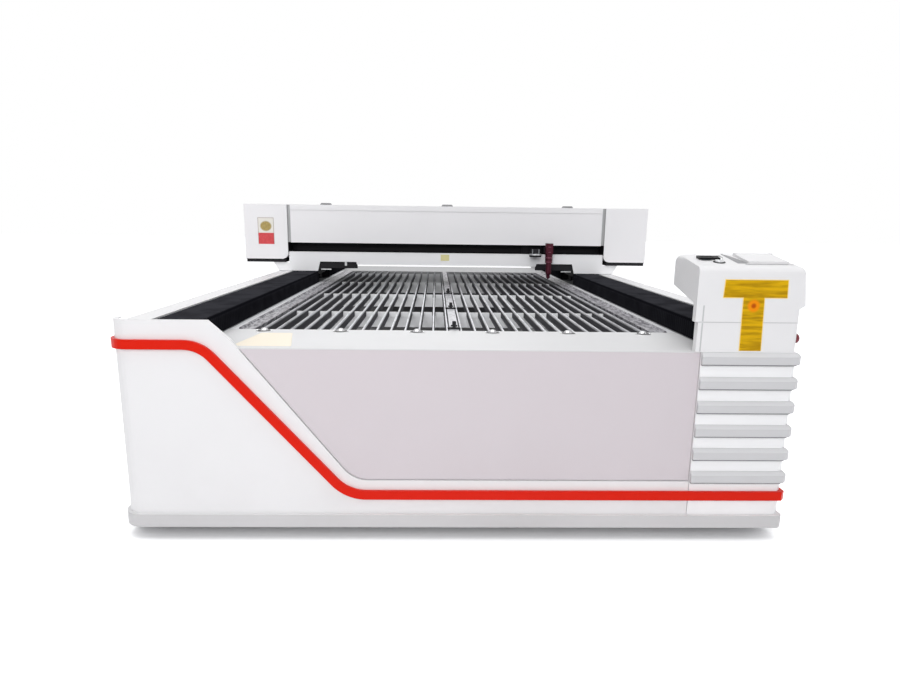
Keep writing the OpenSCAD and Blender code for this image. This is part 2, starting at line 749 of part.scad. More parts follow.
// Front of the bridge: a folded plate with an arch over each table rail
module bridge_plate() {
    t = 3;
    foot_low = bellows_top + 3;
    color(GREY) {
        along_y(gy, gy + t) polygon(concat(
            [[notch_x0, lip_z], [notch_x0 + 4, lip_z + 15], [notch_x1 - 1, lip_z + 15], [notch_x1 + 12, foot_low],
             [half_w, foot_low], [half_w + 25, end_z - tray_h - 1], [bridge_x, end_z - tray_h - 1],
             [bridge_x, slot_z], [-bridge_x, slot_z], [-bridge_x, end_z - tray_h - 1],
             [-half_w - 25, end_z - tray_h - 1], [-half_w, foot_low], [-notch_x1 - 12, foot_low],
             [-notch_x1 + 1, lip_z + 15], [-notch_x0 - 4, lip_z + 15], [-notch_x0, lip_z]]));
        along_x(-notch_x0, notch_x0) polygon([
            [gy + t, lip_z], [gy + 100, lip_z], [gy + 100, lip_z + t], [gy + t, lip_z + t]]);
        along_x(-bridge_x, bridge_x) polygon([
            [gy + t, slot_z], [gy + 22, slot_z], [gy + 22, slot_z - t], [gy + t, slot_z - t]]);
        both_sides() span([foot_x0 + 4, gy + t, foot_low], [foot_x0 + 8, beam_y - 30, gbeam_z]);
    }
}

module front_cover() {
    t = 2;
    color(WHITE) along_x(-cover_x, cover_x) polygon([
        [gy, cover_z], [gy, gantry_top - 3], [gy + hem, gantry_top - 3], [gy + hem, gantry_top - 3 - t],
        [gy + t, gantry_top - 3 - t], [gy + t, cover_z + t], [gy + hem, cover_z + t], [gy + hem, cover_z]]);
}

module rear_cover() {
    t = 2;
    y1 = gy + gantry_d;
    color(WHITE) for (x = hinge_xs, s = [-1, 1]) {
        span([x + s * 34 - 3, lid_hinge_y - 5, gantry_top - 12 - 8], [x + s * 34 + 3, y1, lid_hinge_z + 5]);
        rod_x([x - 33, lid_hinge_y, lid_hinge_z], 2.5, 66);
    }
    color(WHITE) along_x(-cover_x, cover_x) polygon([
        [y1, gbeam_z], [y1, gantry_top - 12], [y1 - t, gantry_top - 12], [y1 - t, gbeam_z + t],
        [beam_y + gbeam_d, gbeam_z + t], [beam_y + gbeam_d, gbeam_z]]);
}

// Outline of an end cover in (X, Z), drawn in by t; the low inner corner is round
function end_outline(t) = let (
    x0 = gantry_w / 2 - end_w + t, x1 = gantry_w / 2 - t, z1 = gantry_top - t, r = end_r - t
) concat([[x1, end_z - (t > 0 ? 5 : 0)], [x1, z1], [x0, z1]],
         arc([x0 + r, end_z + (t > 0 ? t : 0) + r], r, 180, 270),
         t > 0 ? [[x0 + r, end_z - 5]] : []);

module end_covers() {
    t = 2;
    x0 = gantry_w / 2 - end_w;
    color(WHITE) both_sides() difference() {
        along_y(gy - end_out, gy + gantry_d) polygon(end_outline(0));
        along_y(gy - end_out + t, gy + gantry_d - t) polygon(end_outline(t));
        span([x0 - 1, gy - end_out + t, end_z + end_r], [x0 + t + 1, gy + gantry_d - t, gantry_top - t]);
    }
}

module end_trays() {
    t = 2;
    x0 = gantry_w / 2 - end_w + 12;
    x1 = gantry_w / 2;
    y0 = gy - end_out;
    y1 = gy + gantry_d;
    color(BLACK) both_sides() difference() {
        union() {
            span([x0, y0, end_z - t], [x1, y1, end_z]);
            span([x0 + 4, y0 + 4, end_z - tray_h], [x1 - 4, y1 - 4, end_z - t]);
        }
        span([x0 + 4 + t, y0 + 4 + t, end_z - tray_h + t], [x1 - 4 - t, y1 - 4 - t, end_z + 1]);
    }
}

x_rail_l = 2 * cover_x - 20;

module x_guide_rail() {
    color(STEEL) span([-x_rail_l / 2, beam_y - 15, x_rail_z - 10], [x_rail_l / 2, beam_y, x_rail_z + 10]);
}

// The sealed glass tube with its metal ends
module laser_tube() {
    color(GLASS) {
        rod_x([-tube_half, tube_y, tube_z], tube_r, 2 * tube_half);
        rod_x([-tube_half - 40, tube_y, tube_z], 26, 40);
        rod_x([tube_half, tube_y, tube_z], 26, 40);
    }
}

module tube_mounts() {
    shelf_z = gbeam_z + gbeam_h;
    mount_x = tube_half - 280;
    color(ALU) {
        span([-cover_x + 20, beam_y + 8, shelf_z], [cover_x - 20, gy + gantry_d - 10, shelf_z + 3]);
        for (s = [-1, 1]) difference() {
            span([s * mount_x - 18, tube_y - 52, shelf_z + 3], [s * mount_x + 18, tube_y + 52, tube_z + 46]);
            rod_x([s * mount_x - 19, tube_y, tube_z], tube_r, 38);
        }
    }
}

module x_motor() {
    w = 58;
    y0 = belt_y + belt_w + 15;
    color(BLACK) difference() {
        span([pulley_x - w / 2 + 5, y0, belt_z - w / 2], [pulley_x + w / 2 + 5, y0 + 90, belt_z + w / 2]);
        rod_y([pulley_x, y0 - 1, belt_z], 8 + run_gap, 12);
    }
}

// Closed belt round the two pulleys, in (X, Z)
module x_belt() {
    r0 = pulley_r + 0.3;
    color(BLACK) along_y(belt_y, belt_y + belt_w) difference() {
        polygon(concat(arc([pulley_x, belt_z], r0 + belt_t, -90, 90, 16),
                       arc([-pulley_x, belt_z], r0 + belt_t, 90, 270, 16)));
        polygon(concat(arc([pulley_x, belt_z], r0, -90, 90, 16), arc([-pulley_x, belt_z], r0, 90, 270, 16)));
    }
}

// A flanged belt pulley on its shaft
module pulley(x) {
    color(ALU) {
        rod_y([x, belt_y - 0.5, belt_z], pulley_r, belt_w + 1);
        for (y = [belt_y - 3, belt_y + belt_w + 0.5]) rod_y([x, y, belt_z], pulley_r + 4, 2.5);
        rod_y([x, belt_y + belt_w + 3, belt_z], 8, 20);
    }
}

module gantry_lid() {
    t = 2;
    y1 = gy + gantry_d - 12;
    face = gy - t - seat_gap;
    color(WHITE) {
        span([-cover_x, face, gantry_top - t], [cover_x, y1, gantry_top]);
        span([-cover_x, face, gantry_top - lid_lip], [cover_x, face + t, gantry_top - t]);
        for (x = hinge_xs) difference() {
            union() {
                rod_x([x - 30, lid_hinge_y, lid_hinge_z], 5, 60);
                span([x - 30, y1 - 6, gantry_top - t], [x + 30, lid_hinge_y, gantry_top]);
            }
            rod_x([x - 31, lid_hinge_y, lid_hinge_z], 2.5 + run_gap, 62);
        }
    }
}

module lid_pulls() {
    pull_x = cover_x - 195;
    color(BLACK) for (x = [-pull_x, 0, pull_x]) translate([x, gy + 30, gantry_top]) difference() {
        cylinder(r1 = 33, r2 = 27, h = 10);
        translate([0, 0, 6]) cylinder(r1 = 12, r2 = 18, h = 5);
    }
}

// ---------- head ----------

arm_y = gy - 24;
pod_x = head_x - 76;
head_y = gy - 46;
nozzle_z = ledge_z + 36;

module x_carriage() {
    w = 170;
    x0 = head_x - w + 32;
    arm_w = 44;
    color(BLACK) difference() {
        union() {
            span([x0, beam_y - 38, x_rail_z - 34], [x0 + w, beam_y - 28, belt_low - belt_t - 1.5]);
            span([x0 + 30, beam_y - 28, x_rail_z - 22], [x0 + w - 30, beam_y - 6, x_rail_z + 22]);
            span([x0 + 50, beam_y - 38, belt_low - belt_t - 6], [x0 + 120, belt_y + belt_w + 2, belt_low - belt_t - seat_gap]);
            span([x0 + 50, beam_y - 38, belt_low + seat_gap], [x0 + 120, belt_y + belt_w + 2, belt_low + 6]);
            span([x0 + 50, beam_y - 38, belt_low - belt_t - 6], [x0 + 120, belt_y - seat_gap, belt_low + 6]);
            span([head_x - arm_w / 2, arm_y, slot_z + 8], [head_x + arm_w / 2, beam_y - 38, slot_z + 40]);
            span([pod_x - arm_w / 2, arm_y, slot_z + 8], [pod_x + arm_w / 2, beam_y - 38, slot_z + 30]);
        }
        span([x0, beam_y - 15 - seat_gap, x_rail_z - 10 - seat_gap],
             [x0 + w, beam_y, x_rail_z + 10 + seat_gap]);
    }
}

// Mirror block with the sleeve that the lens tube slides in
module head_body() {
    color(CRIMSON) difference() {
        union() {
            span([head_x - 19, head_y - 19, slot_z + 6], [head_x + 19, arm_y, cover_z + 13]);
            translate([head_x, head_y, slot_z - 44]) cylinder(r = 20, h = 51);
        }
        translate([head_x, head_y, slot_z - 45]) cylinder(r = 16 + run_gap, h = 70);
    }
}

module lens_tube() {
    color(CRIMSON) translate([head_x, head_y, nozzle_z]) rotate_extrude() polygon([
        [1.5, 0], [4, 0], [13, 26], [16, 30], [16, slot_z - nozzle_z + 4], [12, slot_z - nozzle_z + 4],
        [12, 34], [1.5, 8]]);
}

module camera_pod() {
    x = pod_x;
    color(BLACK) {
        span([x - 18, arm_y - 26, slot_z + 4], [x + 18, arm_y, slot_z + 28]);
        difference() {
            translate([x, arm_y - 20, slot_z - 12]) cylinder(r = 33, h = 16);
            translate([x, arm_y - 20, slot_z - 13]) cylinder(r = 14, h = 8);
        }
    }
}

// ---------- console ----------

// Post under the hood: a front plate with folded edges and a column outside the bellows
module console_post() {
    col_x = beam_x1 + 5;
    x0 = con_x0 + 8;
    x1 = con_x1 - 1;
    back = y_front + hood_d - 4;
    color(WHITE) difference() {
        union() {
            span([x0, y_front, ledge_z], [x1, y_front + 3, hood_z0]);
            span([x0, y_front, ledge_z], [x0 + 3, y_front + 22, hood_z0]);
            span([x0, y_front, ledge_z], [x1, skin_back, ledge_z + 3]);
            span([col_x, y_front, ledge_z], [x1, back, hood_z0]);
            along_x(col_x, x1) polygon([[y_front + 22, hood_z0], [back, hood_z0],
                [back, hood_z0 + 83], [y_front + 22, hood_z0 + 48]]);
        }
        span([col_x + 3, y_front + 3, ledge_z + 3], [x1 - 3, back - 3, hood_z0 + 100]);
        rod_x([x1 - 10, estop_y, estop_z], 8.5 + run_gap, 20);
    }
}

// Front outline of the hood in (X, Z) and side outline in (Y, Z), drawn in by t
hood_back_z = hood_z1 + 24;
hood_bulge = 14;
hood_crown = [48, 46];
function hood_front(t) = concat(
    [[con_x1 - 1 - t, hood_z0], [con_x1 - 1 - t, hood_z0 + 37], [con_x1 + hood_bulge - t, hood_z0 + 47]],
    [for (a = [0 : 9 : 90]) [con_x1 + 4 - hood_crown.x + (hood_crown.x - t) * cos(a),
                             hood_back_z - hood_crown.y + (hood_crown.y - t) * sin(a)]],
    arc([con_x0 + 14, hood_back_z - 14], 14 - t, 90, 180),
    [[con_x0 + t, hood_z0]]);
function hood_side(t) = let (y = y_front, z = hood_z1) concat(
    [[y + 21, hood_z0], [y + 21, hood_z0 + 50 + t], [y + hood_d - t, hood_z0 + 86 + t],
     [y + hood_d - t, z + 4], [y + hood_d - 20 - t, hood_back_z - t], [y + 20, z - t]],
    arc([y + 18, z - 18], 18 - t, 90, 180, 5), [[y + t, hood_z0]]);
hood_slope = atan((hood_back_z - hood_z1) / (hood_d - 40));

module hood_form(t) {
    intersection() {
        along_y(y_front - 1, y_front + hood_d + 1) polygon(hood_front(t));
        along_x(con_x0 - 1, con_x1 + 30) polygon(hood_side(t));
    }
}

// Puts a thing on the sloping top of the hood, y measured up the slope
module on_hood(x, y) {
    translate([con_x0 + x, y_front + 20, hood_z1]) rotate([hood_slope, 0, 0]) translate([0, y, 0]) children();
}

lid_x = 152;
lid_l = 112;
lid_d = 92;
lid_pin_y = 124;
knob_at = [78, 44];

module console_hood() {
    color(WHITE) {
        difference() {
            hood_form(0);
            hood_form(2.5);
            on_hood(knob_at.x, knob_at.y) translate([0, 0, -10]) cylinder(r = 6 + run_gap, h = 20);
        }
        for (x = [0, lid_l - 8]) on_hood(lid_x + x, lid_pin_y) difference() {
            union() {
                translate([0, -5, -1.5]) cube([8, 10, 6.5]);
                translate([0, 0, 5]) rotate([0, 90, 0]) cylinder(r = 5, h = 8);
            }
            translate([-1, 0, 5]) rotate([0, 90, 0]) cylinder(r = 2, h = 10);
        }
        on_hood(lid_x, lid_pin_y) translate([0, 0, 5]) rotate([0, 90, 0]) cylinder(r = 2, h = lid_l);
    }
}

// Black unit with the screen and the touch keys
module console_display() {
    color(BLACK) on_hood(32, 71) translate([0, 0, 0.1]) difference() {
        cube([66, 24, 7]);
        translate([4, 4, 5.5]) cube([38, 16, 3]);
        translate([45, 4, 6.2]) cube([17, 16, 3]);
    }
}

// Cover over the sockets on the right, hinged at its back edge
module console_lid() {
    color(WHITE) on_hood(lid_x, 0) difference() {
        union() {
            translate([0, lid_pin_y - lid_d - 6, 0.2]) cube([lid_l, lid_d, 7]);
            translate([8.3, lid_pin_y - 7, 0.2]) cube([lid_l - 16.6, 7, 7]);
            translate([8.3, lid_pin_y, 5]) rotate([0, 90, 0]) cylinder(r = 4.5, h = lid_l - 16.6);
        }
        translate([2, lid_pin_y - lid_d - 4, -1]) cube([lid_l - 4, lid_d - 4, 6]);
        translate([8, lid_pin_y, 5]) rotate([0, 90, 0]) cylinder(r = 2 + run_gap, h = lid_l);
    }
}

module selector_knob() {
    color(CHROME) on_hood(knob_at.x, knob_at.y) {
        translate([0, 0, 0.3]) cylinder(r = 12, h = 5);
        translate([0, 0, -9]) cylinder(r = 6, h = 10);
        translate([-2.5, -10, 5]) cube([5, 20, 9]);
    }
}

module estop_button() {
    color(RED) translate([con_x1, estop_y, estop_z]) rotate([0, 90, 0]) rotate_extrude() polygon([
        [0, -12], [8.5, -12], [8.5, 6], [12.5, 6], [14, 8], [14, 14], [10.5, 18], [0, 19]]);
}

// ---------- what is drawn ----------

frame();
levelling_feet();
base_skirt();
front_panel();
front_shroud();
accent_strip();
corner_panel();
corner_ribs();
left_side_panel();
right_side_panel();
rear_panel();
exhaust_collars();
front_ledge();
rear_ledge();
ball_cups();
table_rails();
knife_slats();
slat_bearers();
collection_pan();
y_guide_rails();
tunnel_ends();
y_motors();
bellows(guide_y0, foot_y0);  // bellows_front
bellows(foot_y1, guide_y1);  // bellows_rear
console_post();
console_hood();
console_display();
console_lid();
estop_button();
selector_knob();
for (i = [1 : 6]) feed_ball(i - 1);
color(STEEL) mirror([1, 0, 0]) y_screw();  // y_screw_left
color(STEEL) y_screw();  // y_screw_right
gantry_feet();
gantry_beam();
bridge_plate();
front_cover();
rear_cover();
end_covers();
end_trays();
x_guide_rail();
laser_tube();
tube_mounts();
gantry_ends();
x_motor();
x_belt();
gantry_lid();
lid_pulls();
pulley(pulley_x);  // x_pulley
pulley(-pulley_x);  // x_idler
x_carriage();
head_body();
lens_tube();
camera_pod();
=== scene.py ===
import bpy
import bmesh
import math
from mathutils import Vector, Matrix


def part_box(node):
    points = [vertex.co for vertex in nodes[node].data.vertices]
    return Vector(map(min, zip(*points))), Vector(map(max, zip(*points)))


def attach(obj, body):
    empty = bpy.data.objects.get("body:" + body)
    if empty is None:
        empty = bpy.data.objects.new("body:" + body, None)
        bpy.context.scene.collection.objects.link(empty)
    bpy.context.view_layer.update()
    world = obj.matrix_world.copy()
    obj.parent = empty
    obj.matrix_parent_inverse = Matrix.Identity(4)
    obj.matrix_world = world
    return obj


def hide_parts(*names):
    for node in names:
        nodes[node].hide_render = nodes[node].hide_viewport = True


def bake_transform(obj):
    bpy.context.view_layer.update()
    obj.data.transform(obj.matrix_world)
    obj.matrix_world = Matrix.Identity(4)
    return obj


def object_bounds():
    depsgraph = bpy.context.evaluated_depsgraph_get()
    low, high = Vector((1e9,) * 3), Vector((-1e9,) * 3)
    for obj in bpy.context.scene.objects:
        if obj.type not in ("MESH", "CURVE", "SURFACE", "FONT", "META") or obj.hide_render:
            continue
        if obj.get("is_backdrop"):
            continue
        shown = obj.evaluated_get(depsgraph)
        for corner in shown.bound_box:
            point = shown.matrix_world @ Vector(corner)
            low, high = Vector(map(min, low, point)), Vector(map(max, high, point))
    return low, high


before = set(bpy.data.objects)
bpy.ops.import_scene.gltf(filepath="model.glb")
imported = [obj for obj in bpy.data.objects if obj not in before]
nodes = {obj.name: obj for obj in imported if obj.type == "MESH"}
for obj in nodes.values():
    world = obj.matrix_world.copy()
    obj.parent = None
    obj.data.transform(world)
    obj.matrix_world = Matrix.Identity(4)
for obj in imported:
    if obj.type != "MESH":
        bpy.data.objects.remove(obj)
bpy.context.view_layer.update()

# ---------------------------------------------------------------- camera, floor and light
# The machine stands on a plain pale floor in a bright hall and is seen from the operator's side,
# a little above the table. Large soft lamps hang overhead, in front, to the right and behind.
eye = Vector((-0.0627, -3.4185, 0.9036))
pitch, yaw, roll = math.radians(12.03), math.radians(1.385), math.radians(0.74)
look = Vector((math.sin(yaw) * math.cos(pitch), math.cos(yaw) * math.cos(pitch), -math.sin(pitch)))
level = Vector((math.cos(yaw), -math.sin(yaw), 0))
upright = level.cross(look)
right = level * math.cos(roll) + upright * math.sin(roll)
upright = upright * math.cos(roll) - level * math.sin(roll)
camera = bpy.data.objects.new("camera", bpy.data.cameras.new("camera"))
bpy.context.scene.collection.objects.link(camera)
camera.matrix_world = Matrix.Translation(eye) @ Matrix((right, upright, -look)).transposed().to_4x4()
camera.data.sensor_width = 36
camera.data.lens = 25.71
camera.data.shift_y = 0.0237
camera.data.clip_end = 200
bpy.context.scene.camera = camera
bpy.context.scene.view_settings.view_transform = "Standard"


def feed(tree, node, sockets):
    """Fills in a node's sockets; a linked socket is given as a node and the name of its output."""
    for key, value in sockets.items():
        if isinstance(value, tuple) and isinstance(value[0], bpy.types.Node):
            tree.links.new(value[0].outputs[value[1]], node.inputs[key])
        else:
            node.inputs[key].default_value = value


def put(tree, kind, sockets=None, **settings):
    """Adds a shader node with its settings made and its sockets filled in."""
    node = tree.nodes.new("ShaderNode" + kind)
    for key, value in settings.items():
        setattr(node, key, value)
    feed(tree, node, sockets or {})
    return node


def calc(tree, operation, *values, clamp=False):
    """Output of a sum on one to three numbers."""
    return put(tree, "Math", dict(enumerate(values)), operation=operation, use_clamp=clamp), 0


def ramp(tree, value, start, end, low=0.0, high=1.0):
    """Output that goes from low to high as a value goes from start to end, and stays there."""
    sockets = {"Value": value, "From Min": start, "From Max": end, "To Min": low, "To Max": high}
    return put(tree, "MapRange", sockets), "Result"


def white_to_the_eye(tree, seen, lit):
    """A shader that the camera and reflections see as one thing, and that lights or is lit as another."""
    path = put(tree, "LightPath")
    mirrored = calc(tree, "MAXIMUM", (path, "Is Glossy Ray"), (path, "Is Transmission Ray"))
    direct = calc(tree, "MAXIMUM", (path, "Is Camera Ray"), mirrored)
    return put(tree, "MixShader", {0: direct, 1: (lit, 0), 2: (seen, 0)})


# The hall's walls shine less from the left than from the right.
world = bpy.data.worlds.new("hall")
bpy.context.scene.world = world
world.use_nodes = True
tree = world.node_tree
tree.nodes.clear()
way = put(tree, "SeparateXYZ", {"Vector": (put(tree, "TexCoord"), "Generated")})
one_side = ramp(tree, (way, "X"), -0.9, 0.2, 0.16, 0.5)
dim = put(tree, "Background", {"Color": (0.93, 0.96, 1.0, 1), "Strength": one_side})
plain = put(tree, "Background", {"Color": (1, 1, 1, 1), "Strength": 1.0})
put(tree, "OutputWorld", {"Surface": (white_to_the_eye(tree, plain, dim), 0)})

# The floor is lifted to white away from the machine and keeps the shadow round its foot.
bm = bmesh.new()
bmesh.ops.create_grid(bm, x_segments=1, y_segments=1, size=30)
floor_mesh = bpy.data.meshes.new("floor")
bm.to_mesh(floor_mesh)
bm.free()
floor = bpy.data.objects.new("floor", floor_mesh)
bpy.context.scene.collection.objects.link(floor)
floor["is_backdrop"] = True
pale = bpy.data.materials.new("pale_floor")
pale.use_nodes = True
tree = pale.node_tree
tree.nodes.clear()
matt = put(tree, "BsdfDiffuse", {"Color": (0.88, 0.88, 0.89, 1)})
near = put(tree, "AmbientOcclusion", {"Distance": 0.16}, samples=8)
open_floor = ramp(tree, (near, "AO"), 0.25, 0.95, 0.02, 0.85)
lift = put(tree, "Emission", {"Color": (1, 1, 1, 1), "Strength": open_floor})
both = put(tree, "AddShader", {0: (matt, 0), 1: (lift, 0)})
put(tree, "OutputMaterial", {"Surface": (white_to_the_eye(tree, both, matt), 0)})
floor.data.materials.append(pale)

for name, place, aim, size, power in [
        ("overhead_lamp", (-0.3, -0.9, 4.6), (0, 0.2, 0.5), (4.6, 5.0), 110),
        ("front_lamp", (-1.1, -5.9, 2.7), (0, -1.0, 0.4), (3.2, 2.4), 116),
        ("right_lamp", (5.2, -2.0, 2.8), (0.3, 0, 0.5), (3.0, 2.4), 18),
        ("back_lamp", (-0.5, 5.4, 3.6), (0, 1.0, 0.5), (4.0, 2.0), 34)]:
    lamp = bpy.data.lights.new(name, "AREA")
    lamp.shape, lamp.size, lamp.size_y, lamp.energy = "RECTANGLE", size[0], size[1], power
    lamp_object = bpy.data.objects.new(name, lamp)
    bpy.context.scene.collection.objects.link(lamp_object)
    lamp_object.location = place
    lamp_object.rotation_euler = (Vector(aim) - Vector(place)).to_track_quat("-Z", "Y").to_euler()

# ---------------------------------------------------------------- frame, feet and skirt
# The base is a welded frame of square steel tube, primed grey, on six screwed feet of black iron.
# A folded tray closes it below and stands out 10 mm all round as a pale grey skirt.


def group(name, ins, outs):
    """An empty shader group with named sockets; returns the tree and its two end nodes."""
    tree = bpy.data.node_groups.new(name, "ShaderNodeTree")
    for label, kind, value in ins:
        socket = tree.interface.new_socket(label, in_out="INPUT", socket_type="NodeSocket" + kind)
        socket.default_value = value
    for label, kind in outs:
        tree.interface.new_socket(label, in_out="OUTPUT", socket_type="NodeSocket" + kind)
    return tree, tree.nodes.new("NodeGroupInput"), tree.nodes.new("NodeGroupOutput")


def on_object(tree):
    """Output with the place on the object, which every pattern starts from."""
    return put(tree, "TexCoord"), "Object"


def noise(tree, place, scale, detail=2.0, rough=0.5):
    """Output of an uneven pattern."""
    sockets = {"Vector": place, "Scale": scale, "Detail": detail, "Roughness": rough}
    return put(tree, "TexNoise", sockets), "Fac"


def mixed(tree, factor, a, b):
    """Output of a colour between a and b."""
    return put(tree, "Mix", {"Factor": factor, "A": a, "B": b}, data_type="RGBA"), "Result"


# Powder coat: a faint orange peel, softened sheet edges, a little dust low down and in patches, and
# a painted highlight that lightens faces that look up.
coat_tree, given, handed = group("powder_coat_surface", [
    ("Color", "Color", (0.8, 0.8, 0.8, 1)), ("Peel", "Float", 0.05), ("Edge Radius", "Float", 0.0015),
    ("Dust", "Float", 0.15), ("Roughness", "Float", 0.4), ("Painted Top Light", "Float", 0.0)],
    [("Color", "Color"), ("Roughness", "Float"), ("Normal", "Vector")])
place = on_object(coat_tree)
fine = noise(coat_tree, place, 420.0)
broad = noise(coat_tree, place, 2.3, 5.0, 0.6)
soft = put(coat_tree, "Bevel", {"Radius": (given, "Edge Radius")}, samples=4)
peel = put(coat_tree, "Bump", {"Strength": (given, "Peel"), "Distance": 0.0006,
                               "Height": fine, "Normal": (soft, "Normal")})
parts = put(coat_tree, "SeparateXYZ", {"Vector": place})
low_down = ramp(coat_tree, (parts, "Z"), 0.34, 0.02)
patch = ramp(coat_tree, broad, 0.38, 0.75)
darkening = calc(coat_tree, "MULTIPLY", low_down, patch)
darkening = calc(coat_tree, "MULTIPLY_ADD", patch, 0.22, darkening)
darkening = calc(coat_tree, "MULTIPLY", darkening, (given, "Dust"), clamp=True)
dusty = mixed(coat_tree, darkening, (given, "Color"), (0.30, 0.28, 0.26, 1))
# A painted highlight lightens faces that look up.
facing = put(coat_tree, "SeparateXYZ", {"Vector": (put(coat_tree, "NewGeometry"), "Normal")})
upward = ramp(coat_tree, (facing, "Z"), 0.25, 0.75)
painted_top_light = calc(coat_tree, "MULTIPLY", upward, (given, "Painted Top Light"))
rough = calc(coat_tree, "MULTIPLY_ADD", darkening, 0.5, (given, "Roughness"))
feed(coat_tree, handed, {
    "Color": mixed(coat_tree, painted_top_light, dusty, (0.9, 0.9, 0.9, 1)),
    "Roughness": calc(coat_tree, "MULTIPLY_ADD", broad, 0.06, rough),
    "Normal": (peel, "Normal")})


def blank(name):
    """A material with only its Principled shader and output."""
    material = bpy.data.materials.new(name)
    material.use_nodes = True
    tree = material.node_tree
    return material, tree, tree.nodes["Principled BSDF"]


def surfaced(name, surface_tree, values, own):
    """A material whose colour, roughness and grain come from a surface group."""
    material, tree, skin = blank(name)
    surface = put(tree, "Group", values, node_tree=surface_tree)
    feed(tree, skin, {"Base Color": (surface, "Color"), "Roughness": (surface, "Roughness"),
                      "Normal": (surface, "Normal"), **own})
    return material


def coated(name, color, rough=0.42, peel=0.06, edge=0.0015, dust=0.12, gloss=0.5, top=0.0):
    """Powder-coated sheet steel in one colour; top sets a painted highlight on faces that look up."""
    values = {"Color": (*color, 1), "Peel": peel, "Edge Radius": edge, "Dust": dust,
              "Roughness": rough, "Painted Top Light": top}
    return surfaced(name, coat_tree, values, {"Specular IOR Level": gloss})


def finish_node(material, *names):
    """Gives CAD nodes their finished material."""
    for name in names:
        mesh = nodes[name].data
        mesh.materials.clear()
        mesh.materials.append(material)


def piece(name, bm, material, body="base"):
    """Turns a finished bmesh into a piece of the machine that moves with a body."""
    mesh = bpy.data.meshes.new(name)
    bm.to_mesh(mesh)
    bm.free()
    obj = bpy.data.objects.new(name, mesh)
    bpy.context.scene.collection.objects.link(obj)
    mesh.materials.append(material)
    if body:
        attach(obj, body)
    return obj


def bar(bm, corner, far_corner, r=0.0, segments=2):
    """Adds a bar between two corners, with its edges rounded by r."""
    low, high = Vector(map(min, corner, far_corner)), Vector(map(max, corner, far_corner))
    made = bmesh.ops.create_cube(bm, size=1)["verts"]
    bmesh.ops.scale(bm, verts=made, vec=high - low)
    bmesh.ops.translate(bm, verts=made, vec=(low + high) / 2)
    if r:
        edges = list({e for v in made for e in v.link_edges})
        bmesh.ops.bevel(bm, geom=edges, offset=r, affect="EDGES", segments=segments, profile=0.5,
                        material=-1)


def pin(bm, start, axis, radius, length, r=0.0, tip=None, segments=20):
    """Adds a round bar from a place along an axis; its rims are rounded by r and it narrows to tip."""
    end_radius = radius if tip is None else tip
    made = bmesh.ops.create_cone(bm, cap_ends=True, segments=segments, radius1=radius,
                                 radius2=end_radius, depth=length)["verts"]
    bmesh.ops.translate(bm, verts=made, vec=(0, 0, length / 2))
    turn = Vector((0, 0, 1)).rotation_difference(Vector(axis)).to_matrix()
    bmesh.ops.rotate(bm, verts=made, cent=(0, 0, 0), matrix=turn)
    bmesh.ops.translate(bm, verts=made, vec=start)
    if r:
        rims = {e for v in made for e in v.link_edges if any(len(f.verts) > 4 for f in e.link_faces)}
        bmesh.ops.bevel(bm, geom=list(rims), offset=r, affect="EDGES", segments=2, profile=0.5,
                        material=-1)


def screw_heads(name, places, axis, radius, material, body="base", rise=0.0025):
    """Low button heads with a drive recess, all along one axis."""
    bm = bmesh.new()
    for place in places:
        start = len(bm.faces)
        pin(bm, place, axis, radius, rise, r=rise * 0.45, segments=16)
        bm.faces.ensure_lookup_table()
        head = max(bm.faces[start:], key=lambda f: f.calc_center_median().dot(Vector(axis)))
        bmesh.ops.inset_region(bm, faces=[head], thickness=radius * 0.42, depth=0)
        bmesh.ops.translate(bm, verts=head.verts[:], vec=Vector(axis) * (-rise * 0.6))
    return piece(name, bm, material, body)


up, back = (0, 0, 1), (0, 1, 0)
primer = coated("primed_tube", (0.20, 0.205, 0.215), rough=0.6, peel=0.12)
black_iron = coated("black_iron", (0.012, 0.012, 0.014), rough=0.55, peel=0.15, dust=0.1, gloss=0.25)
# Faces of the pale grey coat that look up are lightened by a painted highlight.
pale_grey = coated("pale_grey_coat", (0.60, 0.59, 0.595), rough=0.38, dust=0.15, top=0.55)
finish_node(primer, "frame")
finish_node(black_iron, "levelling_feet")
finish_node(pale_grey, "base_skirt")

# ---------------------------------------------------------------- front panel, shroud and strip
# Folded 2.5 mm sheet, powder-coated: a white shroud wraps the left corner and drops to the right along
# a diagonal; the pale grey panel is set into it, and a glossy orange-red moulding lies over both.
white = coated("white_coat", (0.805, 0.795, 0.80), rough=0.36)
finish_node(white, "front_shroud")
finish_node(coated("front_grey_coat", (0.635, 0.580, 0.605), rough=0.4), "front_panel")
finish_node(coated("orange_red_gloss", (0.70, 0.011, 0.0005), rough=0.3, peel=0.03, edge=0.003,
                   dust=0.02, gloss=0.12), "accent_strip")

# ---------------------------------------------------------------- right corner module
# The corner under the console is a separate folded panel in white with six rolled pale grey ribs
# that wrap round it; it is fixed from behind, so no screws show. A grey strip under each rib
# paints the shadow under its lower edge.
finish_node(coated("corner_white_coat", (0.92, 0.915, 0.92), rough=0.36), "corner_panel")
# The ribs' coat lightens their upward faces with a painted highlight.
finish_node(coated("rib_grey_coat", (0.60, 0.595, 0.605), rough=0.34, edge=0.002, top=0.3), "corner_ribs")


def chain(bm, places):
    """Edges that join places in order."""
    points = [bm.verts.new(place) for place in places]
    return [bm.edges.new(pair) for pair in zip(points, points[1:])]


def new_verts(made):
    """The vertices in what an extrude hands back."""
    return [v for v in made["geom"] if isinstance(v, bmesh.types.BMVert)]


